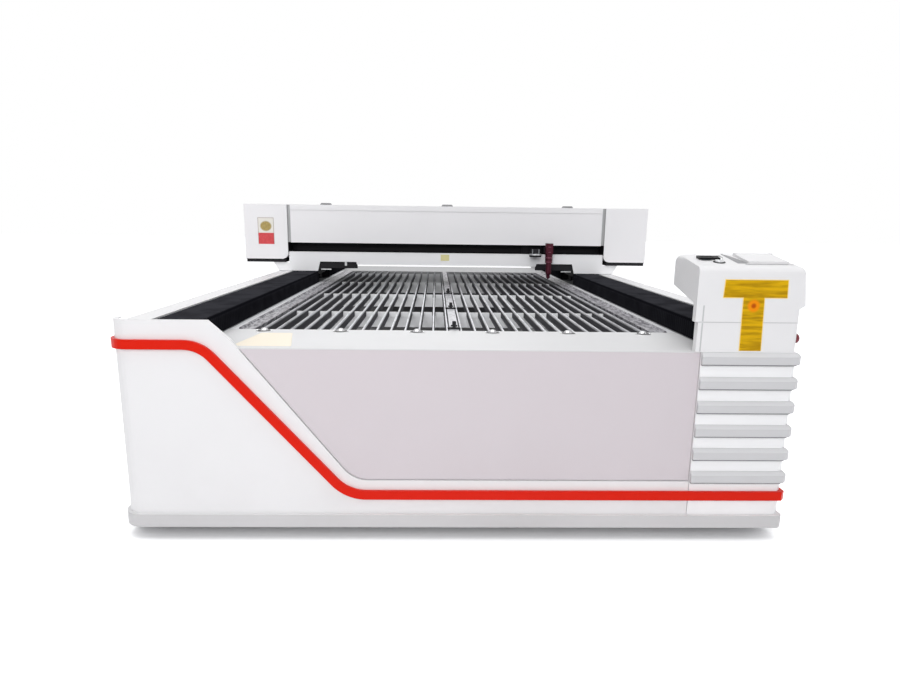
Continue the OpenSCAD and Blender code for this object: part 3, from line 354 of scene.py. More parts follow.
ribs, rib_h, rib_pitch = 6, 0.033, 0.0695
corner_cut, shadow_strip_h, shadow_strip_drop, shadow_strip_out = 0.012, 0.0036, 0.0034, 0.0075
low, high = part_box("corner_ribs")
front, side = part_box("corner_panel")[0].y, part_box("corner_panel")[1].x
path = [(low.x + 0.001, front), (side - corner_cut, front),
        (side, front + corner_cut), (side, high.y - 0.001)]
# Each strip is painted shadow: a grey band just below a rib, standing out from the panel.
bm = bmesh.new()
for i in range(ribs):
    z = high.z - rib_h - i * rib_pitch - shadow_strip_drop
    made = bmesh.ops.extrude_edge_only(bm, edges=chain(bm, [(x, y, z) for x, y in path]))
    bmesh.ops.translate(bm, verts=new_verts(made), vec=(0, 0, shadow_strip_h))
bmesh.ops.recalc_face_normals(bm, faces=bm.faces)
bmesh.ops.solidify(bm, geom=bm.faces[:], thickness=-shadow_strip_out)
piece("rib_painted_shadows", bm, coated("painted_rib_shadow_grey", (0.26, 0.26, 0.265), rough=0.7, dust=0.05, gloss=0.2))

# ---------------------------------------------------------------- side and rear panels
# Long folded panels hang on the side beams, each with screwed service doors that have quarter-turn
# locks and pressed louvres. The rear panel carries the two exhaust collars.
finish_node(white, "left_side_panel", "right_side_panel", "rear_panel")
side = -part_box("left_side_panel")[0].x
door_t, door_low, door_high, lock_z = 0.002, 0.175, 0.505, 0.44
louvres, louvre_z, louvre_pitch, louvre_r, louvre_w = 9, 0.235, 0.022, 0.0075, 0.17
for name, hand, doors in (("left", -1, [(-1.30, -0.46), (-0.36, 0.48), (0.58, 1.42)]),
                          ("right", 1, [(-0.86, -0.08), (0.02, 0.80), (0.90, 1.42)])):
    outward = (hand, 0, 0)
    face = hand * (side + door_t)
    bm = bmesh.new()
    for y0, y1 in doors:
        middle = (y0 + y1) / 2
        bar(bm, (hand * side, y0, door_low), (face, y1, door_high), r=0.0008)
        for i in range(louvres):
            # a pressed hood, round on top and open at its lower edge
            z = louvre_z + i * louvre_pitch
            hood = bmesh.ops.create_cone(bm, cap_ends=True, segments=16, radius1=louvre_r,
                                         radius2=louvre_r, depth=louvre_w)["verts"]
            bmesh.ops.rotate(bm, verts=hood, cent=(0, 0, 0), matrix=Matrix.Rotation(math.pi / 2, 3, "X"))
            bmesh.ops.translate(bm, verts=hood, vec=(hand * (side + 0.001), middle, z))
            faces = {f for v in hood for f in v.link_faces}
            edges = {e for f in faces for e in f.edges}
            bmesh.ops.bisect_plane(bm, geom=[*hood, *edges, *faces], plane_co=(0, 0, z - 0.001),
                                   plane_no=up, clear_inner=True)
    bmesh.ops.recalc_face_normals(bm, faces=bm.faces)
    piece("side_doors_" + name, bm, white)
    screw_heads("door_screws_" + name,
                [(face, y, z) for y0, y1 in doors for y in (y0 + 0.02, (y0 + y1) / 2, y1 - 0.02)
                 for z in (door_low + 0.018, door_high - 0.018)], outward, 0.0045, pale_grey)
    bm = bmesh.new()
    for y in [y for y0, y1 in doors for y in (y0 + 0.035, y1 - 0.035)]:
        pin(bm, (face, y, lock_z), outward, 0.013, 0.0035, r=0.001)
        bar(bm, (face + hand * 0.0035, y - 0.002, lock_z - 0.009),
            (face + hand * 0.0055, y + 0.002, lock_z + 0.009), r=0.0006)
    piece("door_locks_" + name, bm, black_iron)

# The mains inlet with its switch and plug stands on the right of the rear panel; on the left a plate
# carries three barbed brass nipples for the tube's cooling water and air.
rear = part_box("rear_panel")[1].y
inlet_z, plate_low, plate_high, plate_t = 0.27, 0.20, 0.34, 0.003
plug_x, box_t = 0.755, 0.012
bm = bmesh.new()
bar(bm, (0.62, rear, plate_low), (0.80, rear + box_t, plate_high), r=0.002)
bar(bm, (0.645, rear + box_t, 0.225), (0.705, rear + 0.030, 0.315), r=0.004)
pin(bm, (plug_x, rear + box_t, inlet_z), back, 0.017, 0.012, r=0.002)
pin(bm, (plug_x, rear + 0.024, inlet_z), back, 0.0125, 0.018, r=0.003, segments=6)
pin(bm, (plug_x, rear + 0.042, inlet_z), back, 0.009, 0.010, r=0.002)
bar(bm, (-0.80, rear, plate_low), (-0.62, rear + plate_t, plate_high), r=0.001)
piece("mains_inlet", bm, black_iron)
bm = bmesh.new()
for x in (-0.76, -0.71, -0.66):
    pin(bm, (x, rear + plate_t, inlet_z), back, 0.013, 0.010, r=0.001, segments=6)
    pin(bm, (x, rear + 0.013, inlet_z), back, 0.0075, 0.014)
    for barb in range(4):
        pin(bm, (x, rear + 0.027 + barb * 0.006, inlet_z), back, 0.0085, 0.006, tip=0.0065)
brass, tree, skin = blank("plain_brass")
tarnish = noise(tree, on_object(tree), 70.0, 4.0)
feed(tree, skin, {"Base Color": mixed(tree, tarnish, (0.62, 0.42, 0.16, 1), (0.45, 0.28, 0.10, 1)),
                  "Metallic": 1.0, "Roughness": 0.3})
piece("hose_nipples", bm, brass)

collar_x, collar_z, screw_ring = 0.400, 0.28, 0.087
screw_angles = [math.radians(45 + 90 * k) for k in range(4)]
screw_heads("rear_panel_screws",
            [(s * x, rear, z) for s in (-1, 1) for x in (0.925, 0.50, 0.20) for z in (0.10, 0.52)]
            + [(s * collar_x + screw_ring * math.cos(a), rear + plate_t, collar_z + screw_ring * math.sin(a))
               for s in (-1, 1) for a in screw_angles], back, 0.0045, pale_grey)

# Bare sheet and bar: fine streaks along one direction, with a soft cloudiness.
metal_tree, given, handed = group("drawn_metal_surface", [
    ("Color", "Color", (0.7, 0.7, 0.7, 1)), ("Streaks", "Vector", (1.0, 60.0, 60.0)),
    ("Roughness", "Float", 0.3), ("Depth", "Float", 0.15), ("Edge Radius", "Float", 0.0006)],
    [("Color", "Color"), ("Roughness", "Float"), ("Normal", "Vector")])
place = on_object(metal_tree)
stretch = put(metal_tree, "VectorMath", {0: place, 1: (given, "Streaks")}, operation="MULTIPLY")
lines = noise(metal_tree, (stretch, "Vector"), 12.0, 6.0, 0.65)
cloud = noise(metal_tree, place, 9.0, 3.0)
soft = put(metal_tree, "Bevel", {"Radius": (given, "Edge Radius")}, samples=4)
grain = put(metal_tree, "Bump", {"Strength": (given, "Depth"), "Distance": 0.0004,
                                 "Height": lines, "Normal": (soft, "Normal")})
shade = ramp(metal_tree, cloud, 0.3, 0.75, 1.0, 0.82)
tint = put(metal_tree, "VectorMath", {0: (given, "Color"), "Scale": shade}, operation="SCALE")
feed(metal_tree, handed, {
    "Color": (tint, "Vector"),
    "Roughness": calc(metal_tree, "MULTIPLY_ADD", lines, 0.22, (given, "Roughness")),
    "Normal": (grain, "Normal")})


def drawn(name, color, streaks=(1.0, 60.0, 60.0), rough=0.26, depth=0.15, metallic=1.0, gloss=0.5):
    """Bare metal with its streaks along one direction."""
    values = {"Color": (*color, 1), "Streaks": streaks, "Roughness": rough, "Depth": depth}
    return surfaced(name, metal_tree, values, {"Metallic": metallic, "Specular IOR Level": gloss})


galvanised = drawn("galvanised_sheet", (0.58, 0.59, 0.60), (8, 8, 8), rough=0.34, depth=0.1)
finish_node(galvanised, "exhaust_collars")

# ---------------------------------------------------------------- ledges and feed balls
# Folded sheet ledges close the bed, a white one before the slats and a grey one behind. Six bearing
# steel balls stand in screwed cups along the front one, so that a heavy sheet rolls on and off; a
# patch of cream protective film is left on it.
finish_node(coated("ledge_coat", (0.70, 0.695, 0.70), rough=0.4, dust=0.3), "front_ledge")
finish_node(coated("rear_ledge_coat", (0.42, 0.42, 0.425), rough=0.45, dust=0.4), "rear_ledge")
film_z, film_t, film_round = 0.5603, 0.0004, 0.006
film_corners = [(-0.628, -1.655), (-0.462, -1.655), (-0.600, -1.440), (-0.505, -1.440)]
bm = bmesh.new()
bmesh.ops.create_grid(bm, x_segments=1, y_segments=1, size=0.5)
for v, place in zip(sorted(bm.verts, key=lambda v: (v.co.y, v.co.x)), film_corners):
    v.co = (*place, film_z)
bmesh.ops.bevel(bm, geom=bm.verts[:], offset=film_round, affect="VERTICES", segments=3, profile=0.5,
                material=-1)
bmesh.ops.solidify(bm, geom=bm.faces[:], thickness=film_t)
piece("ledge_film", bm, coated("cream_film", (0.93, 0.83, 0.66), rough=0.3, peel=0.02, dust=0.05))

chrome, tree, skin = blank("polished_chrome")
haze = noise(tree, on_object(tree), 60.0, 4.0)
feed(tree, skin, {"Base Color": (0.70, 0.71, 0.72, 1), "Metallic": 1.0,
                  "Roughness": ramp(tree, haze, 0.35, 0.8, 0.06, 0.2)})

# The cups are painted like the ledge, and their lip round the ball is dark.
balls, cup_pitch, cup_y, cup_top, screw_x = range(1, 7), 0.24, -1.41, 0.562, 0.022
cup_steel, tree, skin = blank("painted_cup_with_dark_lip")
place = on_object(tree)
parts = put(tree, "SeparateXYZ", {"Vector": place})
turn = calc(tree, "MULTIPLY", (parts, "X"), 1 / cup_pitch)
across = calc(tree, "SUBTRACT", calc(tree, "FRACT", turn), 0.5)
across = calc(tree, "MULTIPLY", across, cup_pitch)
along = calc(tree, "ADD", (parts, "Y"), -cup_y)
spot = put(tree, "CombineXYZ", {"X": across, "Y": along})
away = put(tree, "VectorMath", {0: (spot, "Vector")}, operation="LENGTH")
flange = ramp(tree, (away, "Value"), 0.0235, 0.0245)
lightening = noise(tree, place, 160.0, 3.0)
dark = mixed(tree, lightening, (0.006, 0.006, 0.007, 1), (0.03, 0.03, 0.033, 1))
feed(tree, skin, {"Base Color": mixed(tree, flange, dark, (0.80, 0.80, 0.80, 1)),
                  "Roughness": 0.4, "Specular IOR Level": 0.3})
bearing_steel, tree, skin = blank("dark_bearing_steel")
streaks = noise(tree, on_object(tree), 240.0, 3.0)
feed(tree, skin, {"Base Color": mixed(tree, streaks, (0.42, 0.42, 0.43, 1), (0.62, 0.62, 0.63, 1)),
                  "Metallic": 1.0, "Roughness": 0.12})
finish_node(bearing_steel, *[f"feed_ball_{i}" for i in balls])
finish_node(cup_steel, "ball_cups")
ball_x = [(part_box(f"feed_ball_{i}")[0].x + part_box(f"feed_ball_{i}")[1].x) / 2 for i in balls]
screw_heads("cup_screws", [(x + s * screw_x, cup_y, cup_top) for x in ball_x for s in (-1, 1)],
            up, 0.0036, chrome, rise=0.0022)

# ---------------------------------------------------------------- slat table
# Aluminium knife slats stand on zinc-plated cross bearers, between two extruded side strips and a
# middle strip that black clips hold down. A galvanised trough below catches what falls through.
low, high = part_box("knife_slats")

# The slats are dark with soot and painted shade down their sides; their upper edge carries a painted
# highlight, weaker outwards, and painted shade under the gantry dims it to the rear.
slat_alu, tree, skin = blank("sooty_slat_with_painted_light")
place = on_object(tree)
parts = put(tree, "SeparateXYZ", {"Vector": place})
smeared = put(tree, "Mapping", {"Vector": place, "Scale": (30.0, 4.0, 60.0)})
soot = noise(tree, (smeared, "Vector"), 3.0, 5.0)
# A painted highlight lights the upper edge, broken up by the soot.
edge_z = ramp(tree, (parts, "Z"), high.z - 0.0090, high.z - 0.0025)
bright = calc(tree, "MULTIPLY", edge_z, soot)
bright = calc(tree, "MULTIPLY", bright, 2.0, clamp=True)
outer = ramp(tree, calc(tree, "ABSOLUTE", (parts, "X")), 0.30, 0.60)
edge_tone = mixed(tree, outer, (0.95, 0.95, 0.97, 1), (0.62, 0.62, 0.64, 1))
# Painted shade under the gantry dims the edge to the rear.
far = ramp(tree, (parts, "Y"), -0.35, 0.20)
edge_tone = mixed(tree, far, edge_tone, (0.30, 0.30, 0.32, 1))
feed(tree, skin, {"Base Color": mixed(tree, bright, (0.045, 0.044, 0.050, 1), edge_tone),
                  "Roughness": ramp(tree, soot, 0.0, 1.0, 0.45, 0.75), "Specular IOR Level": 0.15})
finish_node(slat_alu, "knife_slats")

# The strips are grey with spatter marks; the side ones are bright along their outer border with wear and a
# painted highlight, and the middle one is lighter towards the front.
strip_alu, tree, skin = blank("spattered_strip_aluminium")
place = on_object(tree)
parts = put(tree, "SeparateXYZ", {"Vector": place})
from_middle = calc(tree, "ABSOLUTE", (parts, "X"))
# The outer border is bright with wear and a painted highlight.
border = ramp(tree, from_middle, 0.690, 0.696)
spine = ramp(tree, from_middle, 0.10, 0.05, 0.0, 0.55)
spine = calc(tree, "MULTIPLY", spine, ramp(tree, (parts, "Y"), 0.0, -0.7))
wear_and_painted_sheen = calc(tree, "MAXIMUM", border, spine)
smeared = put(tree, "Mapping", {"Vector": place, "Scale": (1.0, 0.35, 1.0)})
spatter = noise(tree, (smeared, "Vector"), 90.0, 6.0, 0.7)
marks = ramp(tree, spatter, 0.42, 0.58)
grey = mixed(tree, marks, (0.07, 0.065, 0.08, 1), (0.46, 0.45, 0.475, 1))
feed(tree, skin, {"Base Color": mixed(tree, wear_and_painted_sheen, grey, (0.84, 0.84, 0.86, 1)), "Metallic": 0.2,
                  "Roughness": ramp(tree, spatter, 0.0, 1.0, 0.3, 0.6)})
finish_node(strip_alu, "table_rails")
light_zinc = drawn("light_zinc_plate", (0.96, 0.96, 0.97), (60, 1, 60), rough=0.5, depth=0.08, metallic=0.0)
finish_node(light_zinc, "slat_bearers")
# The trough sheet is near white at the front; patches of dirt darken it, and towards the rear it turns black
# with painted shade from the gantry and the end wall.
trough, tree, skin = blank("dusty_trough_with_painted_shade")
place = on_object(tree)
parts = put(tree, "SeparateXYZ", {"Vector": place})
cloud = noise(tree, place, 5.0, 6.0, 0.6)
rearward = ramp(tree, (parts, "Y"), -0.45, 0.15)
darkening = calc(tree, "MULTIPLY_ADD", cloud, 0.35, rearward, clamp=True)
feed(tree, skin, {"Base Color": mixed(tree, darkening, (0.97, 0.97, 0.98, 1), (0.03, 0.03, 0.032, 1)),
                  "Roughness": 0.6})
finish_node(trough, "collection_pan")

# Zinc-plated combs stand against the front of each bearer, with a tooth between every two slats and
# none under the middle strip.
bearers = sorted({round(v.co.y, 4) for v in nodes["slat_bearers"].data.vertices})
fronts = [y for i, y in enumerate(bearers) if i == 0 or y - bearers[i - 1] > 0.1]
teeth, tooth_pitch, tooth_gap, comb_x, tooth_x = 29, 1.28 / 28, 0.0065, 0.640, 0.638
comb_top = high.z - 0.030
bm = bmesh.new()
for y in fronts:
    y0, y1 = y - 0.0025, y - 0.0005
    bar(bm, (-comb_x, y0, comb_top - 0.040), (comb_x, y1, comb_top - 0.001), r=0.0004, segments=1)
    for i in (i for i in range(teeth) if i != teeth // 2):
        x0 = max(-tooth_x, (i - teeth / 2) * tooth_pitch + tooth_gap)
        x1 = min(tooth_x, (i + 1 - teeth / 2) * tooth_pitch - tooth_gap)
        bar(bm, (x0, y0, comb_top - 0.003), (x1, y1, comb_top + 0.021), r=0.0004, segments=1)
piece("slat_combs", bm, light_zinc)

# Black clips hold the middle strip down at three bearers: a foot across the strip and a ribbed thumb.
clip_z = high.z - 0.001
clip_bars = [(0.021, 0.009, 0.0, 0.0055, 0.001), (0.0055, 0.006, 0.003, 0.026, 0.0015),
             (0.011, 0.005, 0.0085, 0.0135, 0.001)]
clip_bars += [(0.0065, 0.0065, 0.0155 + k * 0.0036, 0.0173 + k * 0.0036, 0.0005) for k in range(3)]
bm = bmesh.new()
for y in (-1.33, -0.83, -0.27):
    for half_x, half_y, foot, head, r in clip_bars:
        bar(bm, (-half_x, y - half_y, clip_z + foot), (half_x, y + half_y, clip_z + head), r=r)
piece("spine_clips", bm, black_iron)

# ---------------------------------------------------------------- guide tunnels
# Ground steel rails and rolled lead screws run along both sides under pleated covers of coated
# cloth, which on the machine close up ahead of the gantry and open behind it; here they are built at rest.
ground = drawn("ground_steel", (0.46, 0.47, 0.49), (60, 1, 60), rough=0.22, depth=0.08)
finish_node(ground, "y_guide_rails", "y_screw_left", "y_screw_right")
finish_node(black_iron, "tunnel_ends", "y_motors")

# The crests of the folds are lighter than the valleys, with wear and a painted sheen that is strongest
# along the top, where the light falls, and weaker on the sides.
cover_inner, cover_top = 0.723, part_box("bellows_front")[1].z
cloth, tree, skin = blank("coated_bellows_cloth")
place = on_object(tree)
weave = noise(tree, place, 900.0)
wear_and_painted_sheen = noise(tree, place, 14.0, 5.0)
tone = mixed(tree, wear_and_painted_sheen, (0.0015, 0.0015, 0.003, 1), (0.004, 0.004, 0.006, 1))
parts = put(tree, "SeparateXYZ", {"Vector": place})
# Painted sheen: full on the top crests, about a third of it on the inner side.
top_crest = ramp(tree, (parts, "Z"), cover_top - 0.0035, cover_top - 0.0005)
side_crest = ramp(tree, calc(tree, "ABSOLUTE", (parts, "X")), cover_inner + 0.0035,
                  cover_inner + 0.0005, 0.0, 0.35)
crest = calc(tree, "MAXIMUM", top_crest, side_crest)
lightening = calc(tree, "MULTIPLY", crest, wear_and_painted_sheen)
lightening = calc(tree, "MULTIPLY", lightening, 1.7, clamp=True)
grain = put(tree, "Bump", {"Strength": 0.12, "Distance": 0.0004, "Height": weave})
feed(tree, skin, {"Base Color": mixed(tree, lightening, tone, (0.036, 0.036, 0.042, 1)),
                  "Roughness": ramp(tree, wear_and_painted_sheen, 0.0, 1.0, 0.62, 0.85),
                  "Specular IOR Level": 0.03, "Normal": (grain, "Normal")})


def pleated_cover(name, node):
    """Folds a U-shaped strip of cloth back and forth along both sides of the machine."""
    low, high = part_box(node)
    y0, y1 = low.y, high.y
    inner, outer, bottom, top = cover_inner, high.x, low.z, high.z
    corner, fold, cloth_t, pleat_y = 0.010, 0.0075, 0.0008, 0.0165
    pleats = round((y1 - y0) / pleat_y)
    step = (y1 - y0) / pleats / 2
    path = [(inner, bottom), (inner, top - corner), (inner + corner, top),
            (outer - corner, top), (outer, top - corner), (outer, bottom)]
    shrink = (1 - 2 * fold / (outer - inner), 1, 1 - fold / (top - bottom))
    bm = bmesh.new()
    for side in (-1, 1):
        edges = chain(bm, [(side * x, y0, z) for x, z in path])
        middle = Vector((side * (inner + outer) / 2, 0, bottom))
        for i in range(2 * pleats):
            made = bmesh.ops.extrude_edge_only(bm, edges=edges)
            points = new_verts(made)
            edges = [e for e in made["geom"] if isinstance(e, bmesh.types.BMEdge)]
            scale = shrink if i % 2 == 0 else [1 / s for s in shrink]
            bmesh.ops.scale(bm, verts=points, vec=scale, space=Matrix.Translation(-middle))
            bmesh.ops.translate(bm, verts=points, vec=(0, step, 0))
    bmesh.ops.recalc_face_normals(bm, faces=bm.faces)
    bmesh.ops.solidify(bm, geom=bm.faces[:], thickness=cloth_t)
    cover = piece(name, bm, cloth, None)
    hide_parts(node)
    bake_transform(cover)


pleated_cover("pleats_front", "bellows_front")
pleated_cover("pleats_rear", "bellows_rear")

# ---------------------------------------------------------------- console
# A folded white post and hood at the front right corner, with the display, a selector, a hinged cover
# over sockets and the emergency stop on its side. The amber label on its front is left without words.
finish_node(white, "console_post", "console_hood", "console_lid")
black_plastic = coated("black_plastic", (0.008, 0.008, 0.009), rough=0.4, peel=0.2, dust=0.05, gloss=0.2)
finish_node(black_plastic, "console_display")
finish_node(chrome, "selector_knob")
finish_node(coated("stop_red", (0.16, 0.004, 0.016), rough=0.3, peel=0.02, dust=0.05), "estop_button")


def film(bm, places, rise):
    """Adds a thin film cut to an outline of places; rise is its thickness and which way it stands."""
    face = bm.faces.new([bm.verts.new(place) for place in places])
    made = bmesh.ops.extrude_face_region(bm, geom=[face])
    bmesh.ops.translate(bm, verts=new_verts(made), vec=rise)
    bmesh.ops.recalc_face_normals(bm, faces=bm.faces)


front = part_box("console_post")[0].y
label_x, border_w = 0.806, 0.0022
label_outline = [(0.7215, 0.7597), (0.8918, 0.7597), (0.8940, 0.7128), (0.8318, 0.7128),
                 (0.8370, 0.5650), (0.7780, 0.5650), (0.7748, 0.7128), (0.7195, 0.7128)]
border_outline = [(x + math.copysign(border_w, x - label_x),
                   z + (border_w if z > 0.75 else -border_w if z > 0.6 else 0.0))
                  for x, z in label_outline]
bm = bmesh.new()
film(bm, [(x, front - 0.0002, z) for x, z in border_outline], (0, -0.0003, 0))
piece("console_label_border", bm, coated("label_border", (0.95, 0.72, 0.24), rough=0.4, peel=0.01, dust=0.0))
amber, tree, skin = blank("amber_label_film")
place = on_object(tree)
parts = put(tree, "SeparateXYZ", {"Vector": place})
stretch = put(tree, "Mapping", {"Vector": place, "Scale": (9.0, 1.0, 95.0)})
bands = noise(tree, (stretch, "Vector"), 1.0, 3.0, 0.6)
tonal = ramp(tree, bands, 0.36, 0.62)
yellow = mixed(tree, tonal, (0.40, 0.215, 0.001, 1), (0.72, 0.42, 0.004, 1))
spot = put(tree, "CombineXYZ", {"X": (parts, "X"), "Y": (parts, "Z")})
away = put(tree, "VectorMath", {0: (spot, "Vector"), 1: (0.8045, 0.6900, 0)}, operation="DISTANCE")
patch = ramp(tree, (away, "Value"), 0.020, 0.013)
core = ramp(tree, (away, "Value"), 0.009, 0.004)
orange = mixed(tree, core, (0.86, 0.27, 0.003, 1), (0.50, 0.08, 0.001, 1))
feed(tree, skin, {"Base Color": mixed(tree, patch, yellow, orange),
                  "Roughness": 0.42, "Specular IOR Level": 0.1})
bm = bmesh.new()
film(bm, [(x, front - 0.0004, z) for x, z in label_outline], (0, -0.0004, 0))
piece("console_label", bm, amber)

# A thin grey strip fills the joint between hood and post; grey strips paint the shade in the folds
# beside it, and grey film paints the shadows round the cover.
slope = math.radians(9.53)
hood_low = Vector((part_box("console_hood")[0].x, -1.674, 0.796))


def on_hood(x, y, rise=0.0):
    """A place on the hood's sloping top, y measured up the slope."""
    return hood_low + Vector((x, y * math.cos(slope) - rise * math.sin(slope),
                              y * math.sin(slope) + rise * math.cos(slope)))


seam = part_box("console_hood")[0].z
bm = bmesh.new()
bar(bm, (0.6570, front - 0.0005, seam - 0.0008), (0.9325, front + 0.0005, seam + 0.0010))
# The two upright strips are painted shade in the folds.
for z0, z1 in ((0.562, seam - 0.002), (seam + 0.002, seam + 0.046)):
    bar(bm, (0.6665, front - 0.0004, z0), (0.6705, front + 0.0006, z1), r=0.0003, segments=1)
piece("console_joint_and_fold_shadows", bm, coated("pale_joint_and_painted_fold_shade", (0.56, 0.56, 0.565), rough=0.6, dust=0.05, gloss=0.2))
normal = on_hood(0, 0, 1) - on_hood(0, 0)
# Grey film on the hood top paints shade: a three-cornered patch left of the lid and lines behind and before
# it.
bm = bmesh.new()
for outline in ([(0.125, 0.031), (0.151, 0.031), (0.151, 0.060), (0.138, 0.125), (0.125, 0.154)],
                [(0.125, 0.1525), (0.252, 0.1450), (0.252, 0.1475), (0.125, 0.1560)],
                [(0.140, 0.0190), (0.276, 0.0190), (0.276, 0.0215), (0.140, 0.0215)]):
    film(bm, [on_hood(x, y, 0.0002) for x, y in outline], normal * 0.0004)
piece("console_lid_painted_shadows", bm,
      coated("painted_lid_shadow_grey", (0.33, 0.33, 0.335), rough=0.6, dust=0.05, gloss=0.2))

# The selector has a round black base, the shoulder a key lock and the display a small dark window.
bm = bmesh.new()
pin(bm, on_hood(0.078, 0.044, 0.0001), normal, 0.0165, 0.0016, r=0.0005, segments=32)
pin(bm, (0.9275, -1.650, 0.7925), (0.45, 0, 0.89), 0.0062, 0.004, r=0.0008)
piece("selector_base_and_lock", bm, black_plastic)
bm = bmesh.new()
bar(bm, (0.036, 0.0615, 0.0022), (0.066, 0.0805, 0.0034), r=0.0005)
bmesh.ops.rotate(bm, verts=bm.verts, cent=(0, 0, 0), matrix=Matrix.Rotation(slope, 3, "X"))
bmesh.ops.translate(bm, verts=bm.verts, vec=hood_low)
screen, tree, skin = blank("display_window")
glow = noise(tree, on_object(tree), 40.0)
feed(tree, skin, {"Base Color": mixed(tree, glow, (0.004, 0.008, 0.010, 1), (0.010, 0.020, 0.024, 1)),
                  "Roughness": 0.15})
piece("display_window", bm, screen)

# ---------------------------------------------------------------- gantry
# A square tube beam on two steel feet, closed by white covers; the head's arms come out through a
# black slot over a pale bridge plate. A long lid at the top opens over the laser tube.
# The gantry's white coat and the bridge coat lighten faces that look up with a painted highlight.
gantry_white = coated("gantry_white_coat", (0.93, 0.915, 0.925), rough=0.36, top=0.3)
black_oxide = drawn("black_oxide_steel", (0.026, 0.025, 0.028), rough=0.55, depth=0.08, metallic=0.0,
                    gloss=0.1)
finish_node(black_oxide, "gantry_feet", "gantry_beam", "end_trays", "x_motor", "x_guide_rail", "x_belt")
finish_node(coated("bridge_coat", (0.96, 0.955, 0.965), rough=0.4, top=0.4), "bridge_plate")
bulkhead, tree, skin = blank("two_tone_bulkhead")
place = on_object(tree)
parts = put(tree, "SeparateXYZ", {"Vector": place})
upper = ramp(tree, (parts, "Z"), 0.780, 0.783)
grime = noise(tree, place, 18.0, 4.0)
greys = mixed(tree, grime, (0.42, 0.42, 0.425, 1), (0.56, 0.56, 0.565, 1))
feed(tree, skin, {"Base Color": mixed(tree, upper, (0.010, 0.010, 0.011, 1), greys),
                  "Roughness": 0.5, "Specular IOR Level": 0.2})
finish_node(bulkhead, "gantry_ends")
finish_node(gantry_white, "front_cover", "rear_cover", "end_covers", "gantry_lid")
finish_node(coated("grey_pull", (0.24, 0.24, 0.245), rough=0.45, dust=0.1), "lid_pulls")
finish_node(galvanised, "tube_mounts", "x_pulley", "x_idler")
glass, tree, skin = blank("tube_glass")
cloudy = noise(tree, on_object(tree), 6.0, 3.0)
feed(tree, skin, {"Base Color": mixed(tree, cloudy, (0.80, 0.88, 0.92, 1), (0.70, 0.80, 0.86, 1)),
                  "Roughness": 0.05, "Transmission Weight": 0.8})
finish_node(glass, "laser_tube")

# Rolled hems along the foot of the front cover and along the bridge catch the light. The covers
# behind and at the ends are held by screws.
low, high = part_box("front_cover")
x0, x1, hem_y, bridge_y = low.x + 0.001, high.x - 0.001, low.y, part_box("bridge_plate")[0].y
hem_in, hem_out, hem_r, bridge_x = 0.0005, 0.0011, 0.0006, 0.498
bm = bmesh.new()
bar(bm, (x0, hem_y - hem_out, low.z + 0.0002), (x1, hem_y + hem_in, low.z + 0.0036), r=hem_r)
bar(bm, (-bridge_x, bridge_y - hem_out, 0.6612), (bridge_x, bridge_y + hem_in, 0.6642), r=hem_r)
bar(bm, (x0, bridge_y - 0.0009, 0.7262), (x1, bridge_y + hem_in, 0.7296), r=hem_r)
piece("cover_hems", bm, gantry_white, "gantry")
end_y, rear_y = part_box("end_covers")[0].y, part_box("rear_cover")[1].y
side_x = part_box("end_covers")[1].x - 0.0025
screw_heads("rear_cover_screws",
            [(s * x, rear_y, z) for s in (-1, 1) for x in (0.850, 0.44, 0.06) for z in (0.706, 0.944)],
            back, 0.004, pale_grey, "gantry", rise=0.002)
for name, hand in (("left", -1), ("right", 1)):
    screw_heads("end_cover_screws_" + name,
                [(hand * side_x, y, z) for y in (0.262, 0.598) for z in (0.716, 0.960)],
                (hand, 0, 0), 0.004, pale_grey, "gantry", rise=0.0022)

# Black sheets paint the shade in the beam's underside above each foot, with galvanised brackets before them.
shade_sheet_y, bracket_y = bridge_y + 0.0045, bridge_y + 0.0025
shade_sheets, brackets = bmesh.new(), bmesh.new()
for s in (-1, 1):
    bar(shade_sheets, (s * 0.502, shade_sheet_y, 0.640), (s * 0.716, bridge_y + 0.0060, 0.694), r=0.0004, segments=1)
    bar(brackets, (s * 0.562, bracket_y, 0.654), (s * 0.574, shade_sheet_y, 0.6755), r=0.0004, segments=1)
    bar(brackets, (s * 0.650, bracket_y, 0.630), (s * 0.708, shade_sheet_y, 0.6365), r=0.0008, segments=1)
piece("arch_shade_sheets", shade_sheets, black_oxide, "gantry")
piece("wiper_brackets", brackets, galvanised, "gantry")

# The label on the left end cover and the small one on the bridge are plain fields of colour.
x0, x1, z0, split_z, z1 = -1.0470, -0.9590, 0.7705, 0.8315, 0.9145
middle_x, half_x, patch_z, squash = (x0 + x1) / 2, (x1 - x0) / 2, 0.868, 1.15
fields, tree, skin = blank("two_colour_label")
place = on_object(tree)
parts = put(tree, "SeparateXYZ", {"Vector": place})
upper = ramp(tree, (parts, "Z"), split_z - 0.001, split_z + 0.001)
spot = put(tree, "CombineXYZ", {"X": (parts, "X"), "Y": calc(tree, "MULTIPLY", (parts, "Z"), squash)})
away = put(tree, "VectorMath", {0: (spot, "Vector"), 1: (middle_x, patch_z * squash, 0)},
           operation="DISTANCE")
ink = noise(tree, place, 130.0, 3.0)
patch = ramp(tree, (away, "Value"), 0.034, 0.027)
olive = mixed(tree, ink, (0.23, 0.16, 0.03, 1), (0.62, 0.46, 0.14, 1))
cream = mixed(tree, patch, (0.86, 0.83, 0.76, 1), olive)
red = mixed(tree, ink, (0.52, 0.020, 0.026, 1), (0.80, 0.07, 0.08, 1))
tone = mixed(tree, upper, red, cream)
edge_x = calc(tree, "ABSOLUTE", calc(tree, "ADD", (parts, "X"), -middle_x))
edge_in = ramp(tree, edge_x, half_x - 0.0035, half_x - 0.0025)
edge_top = ramp(tree, (parts, "Z"), z1 - 0.0035, z1 - 0.0025)
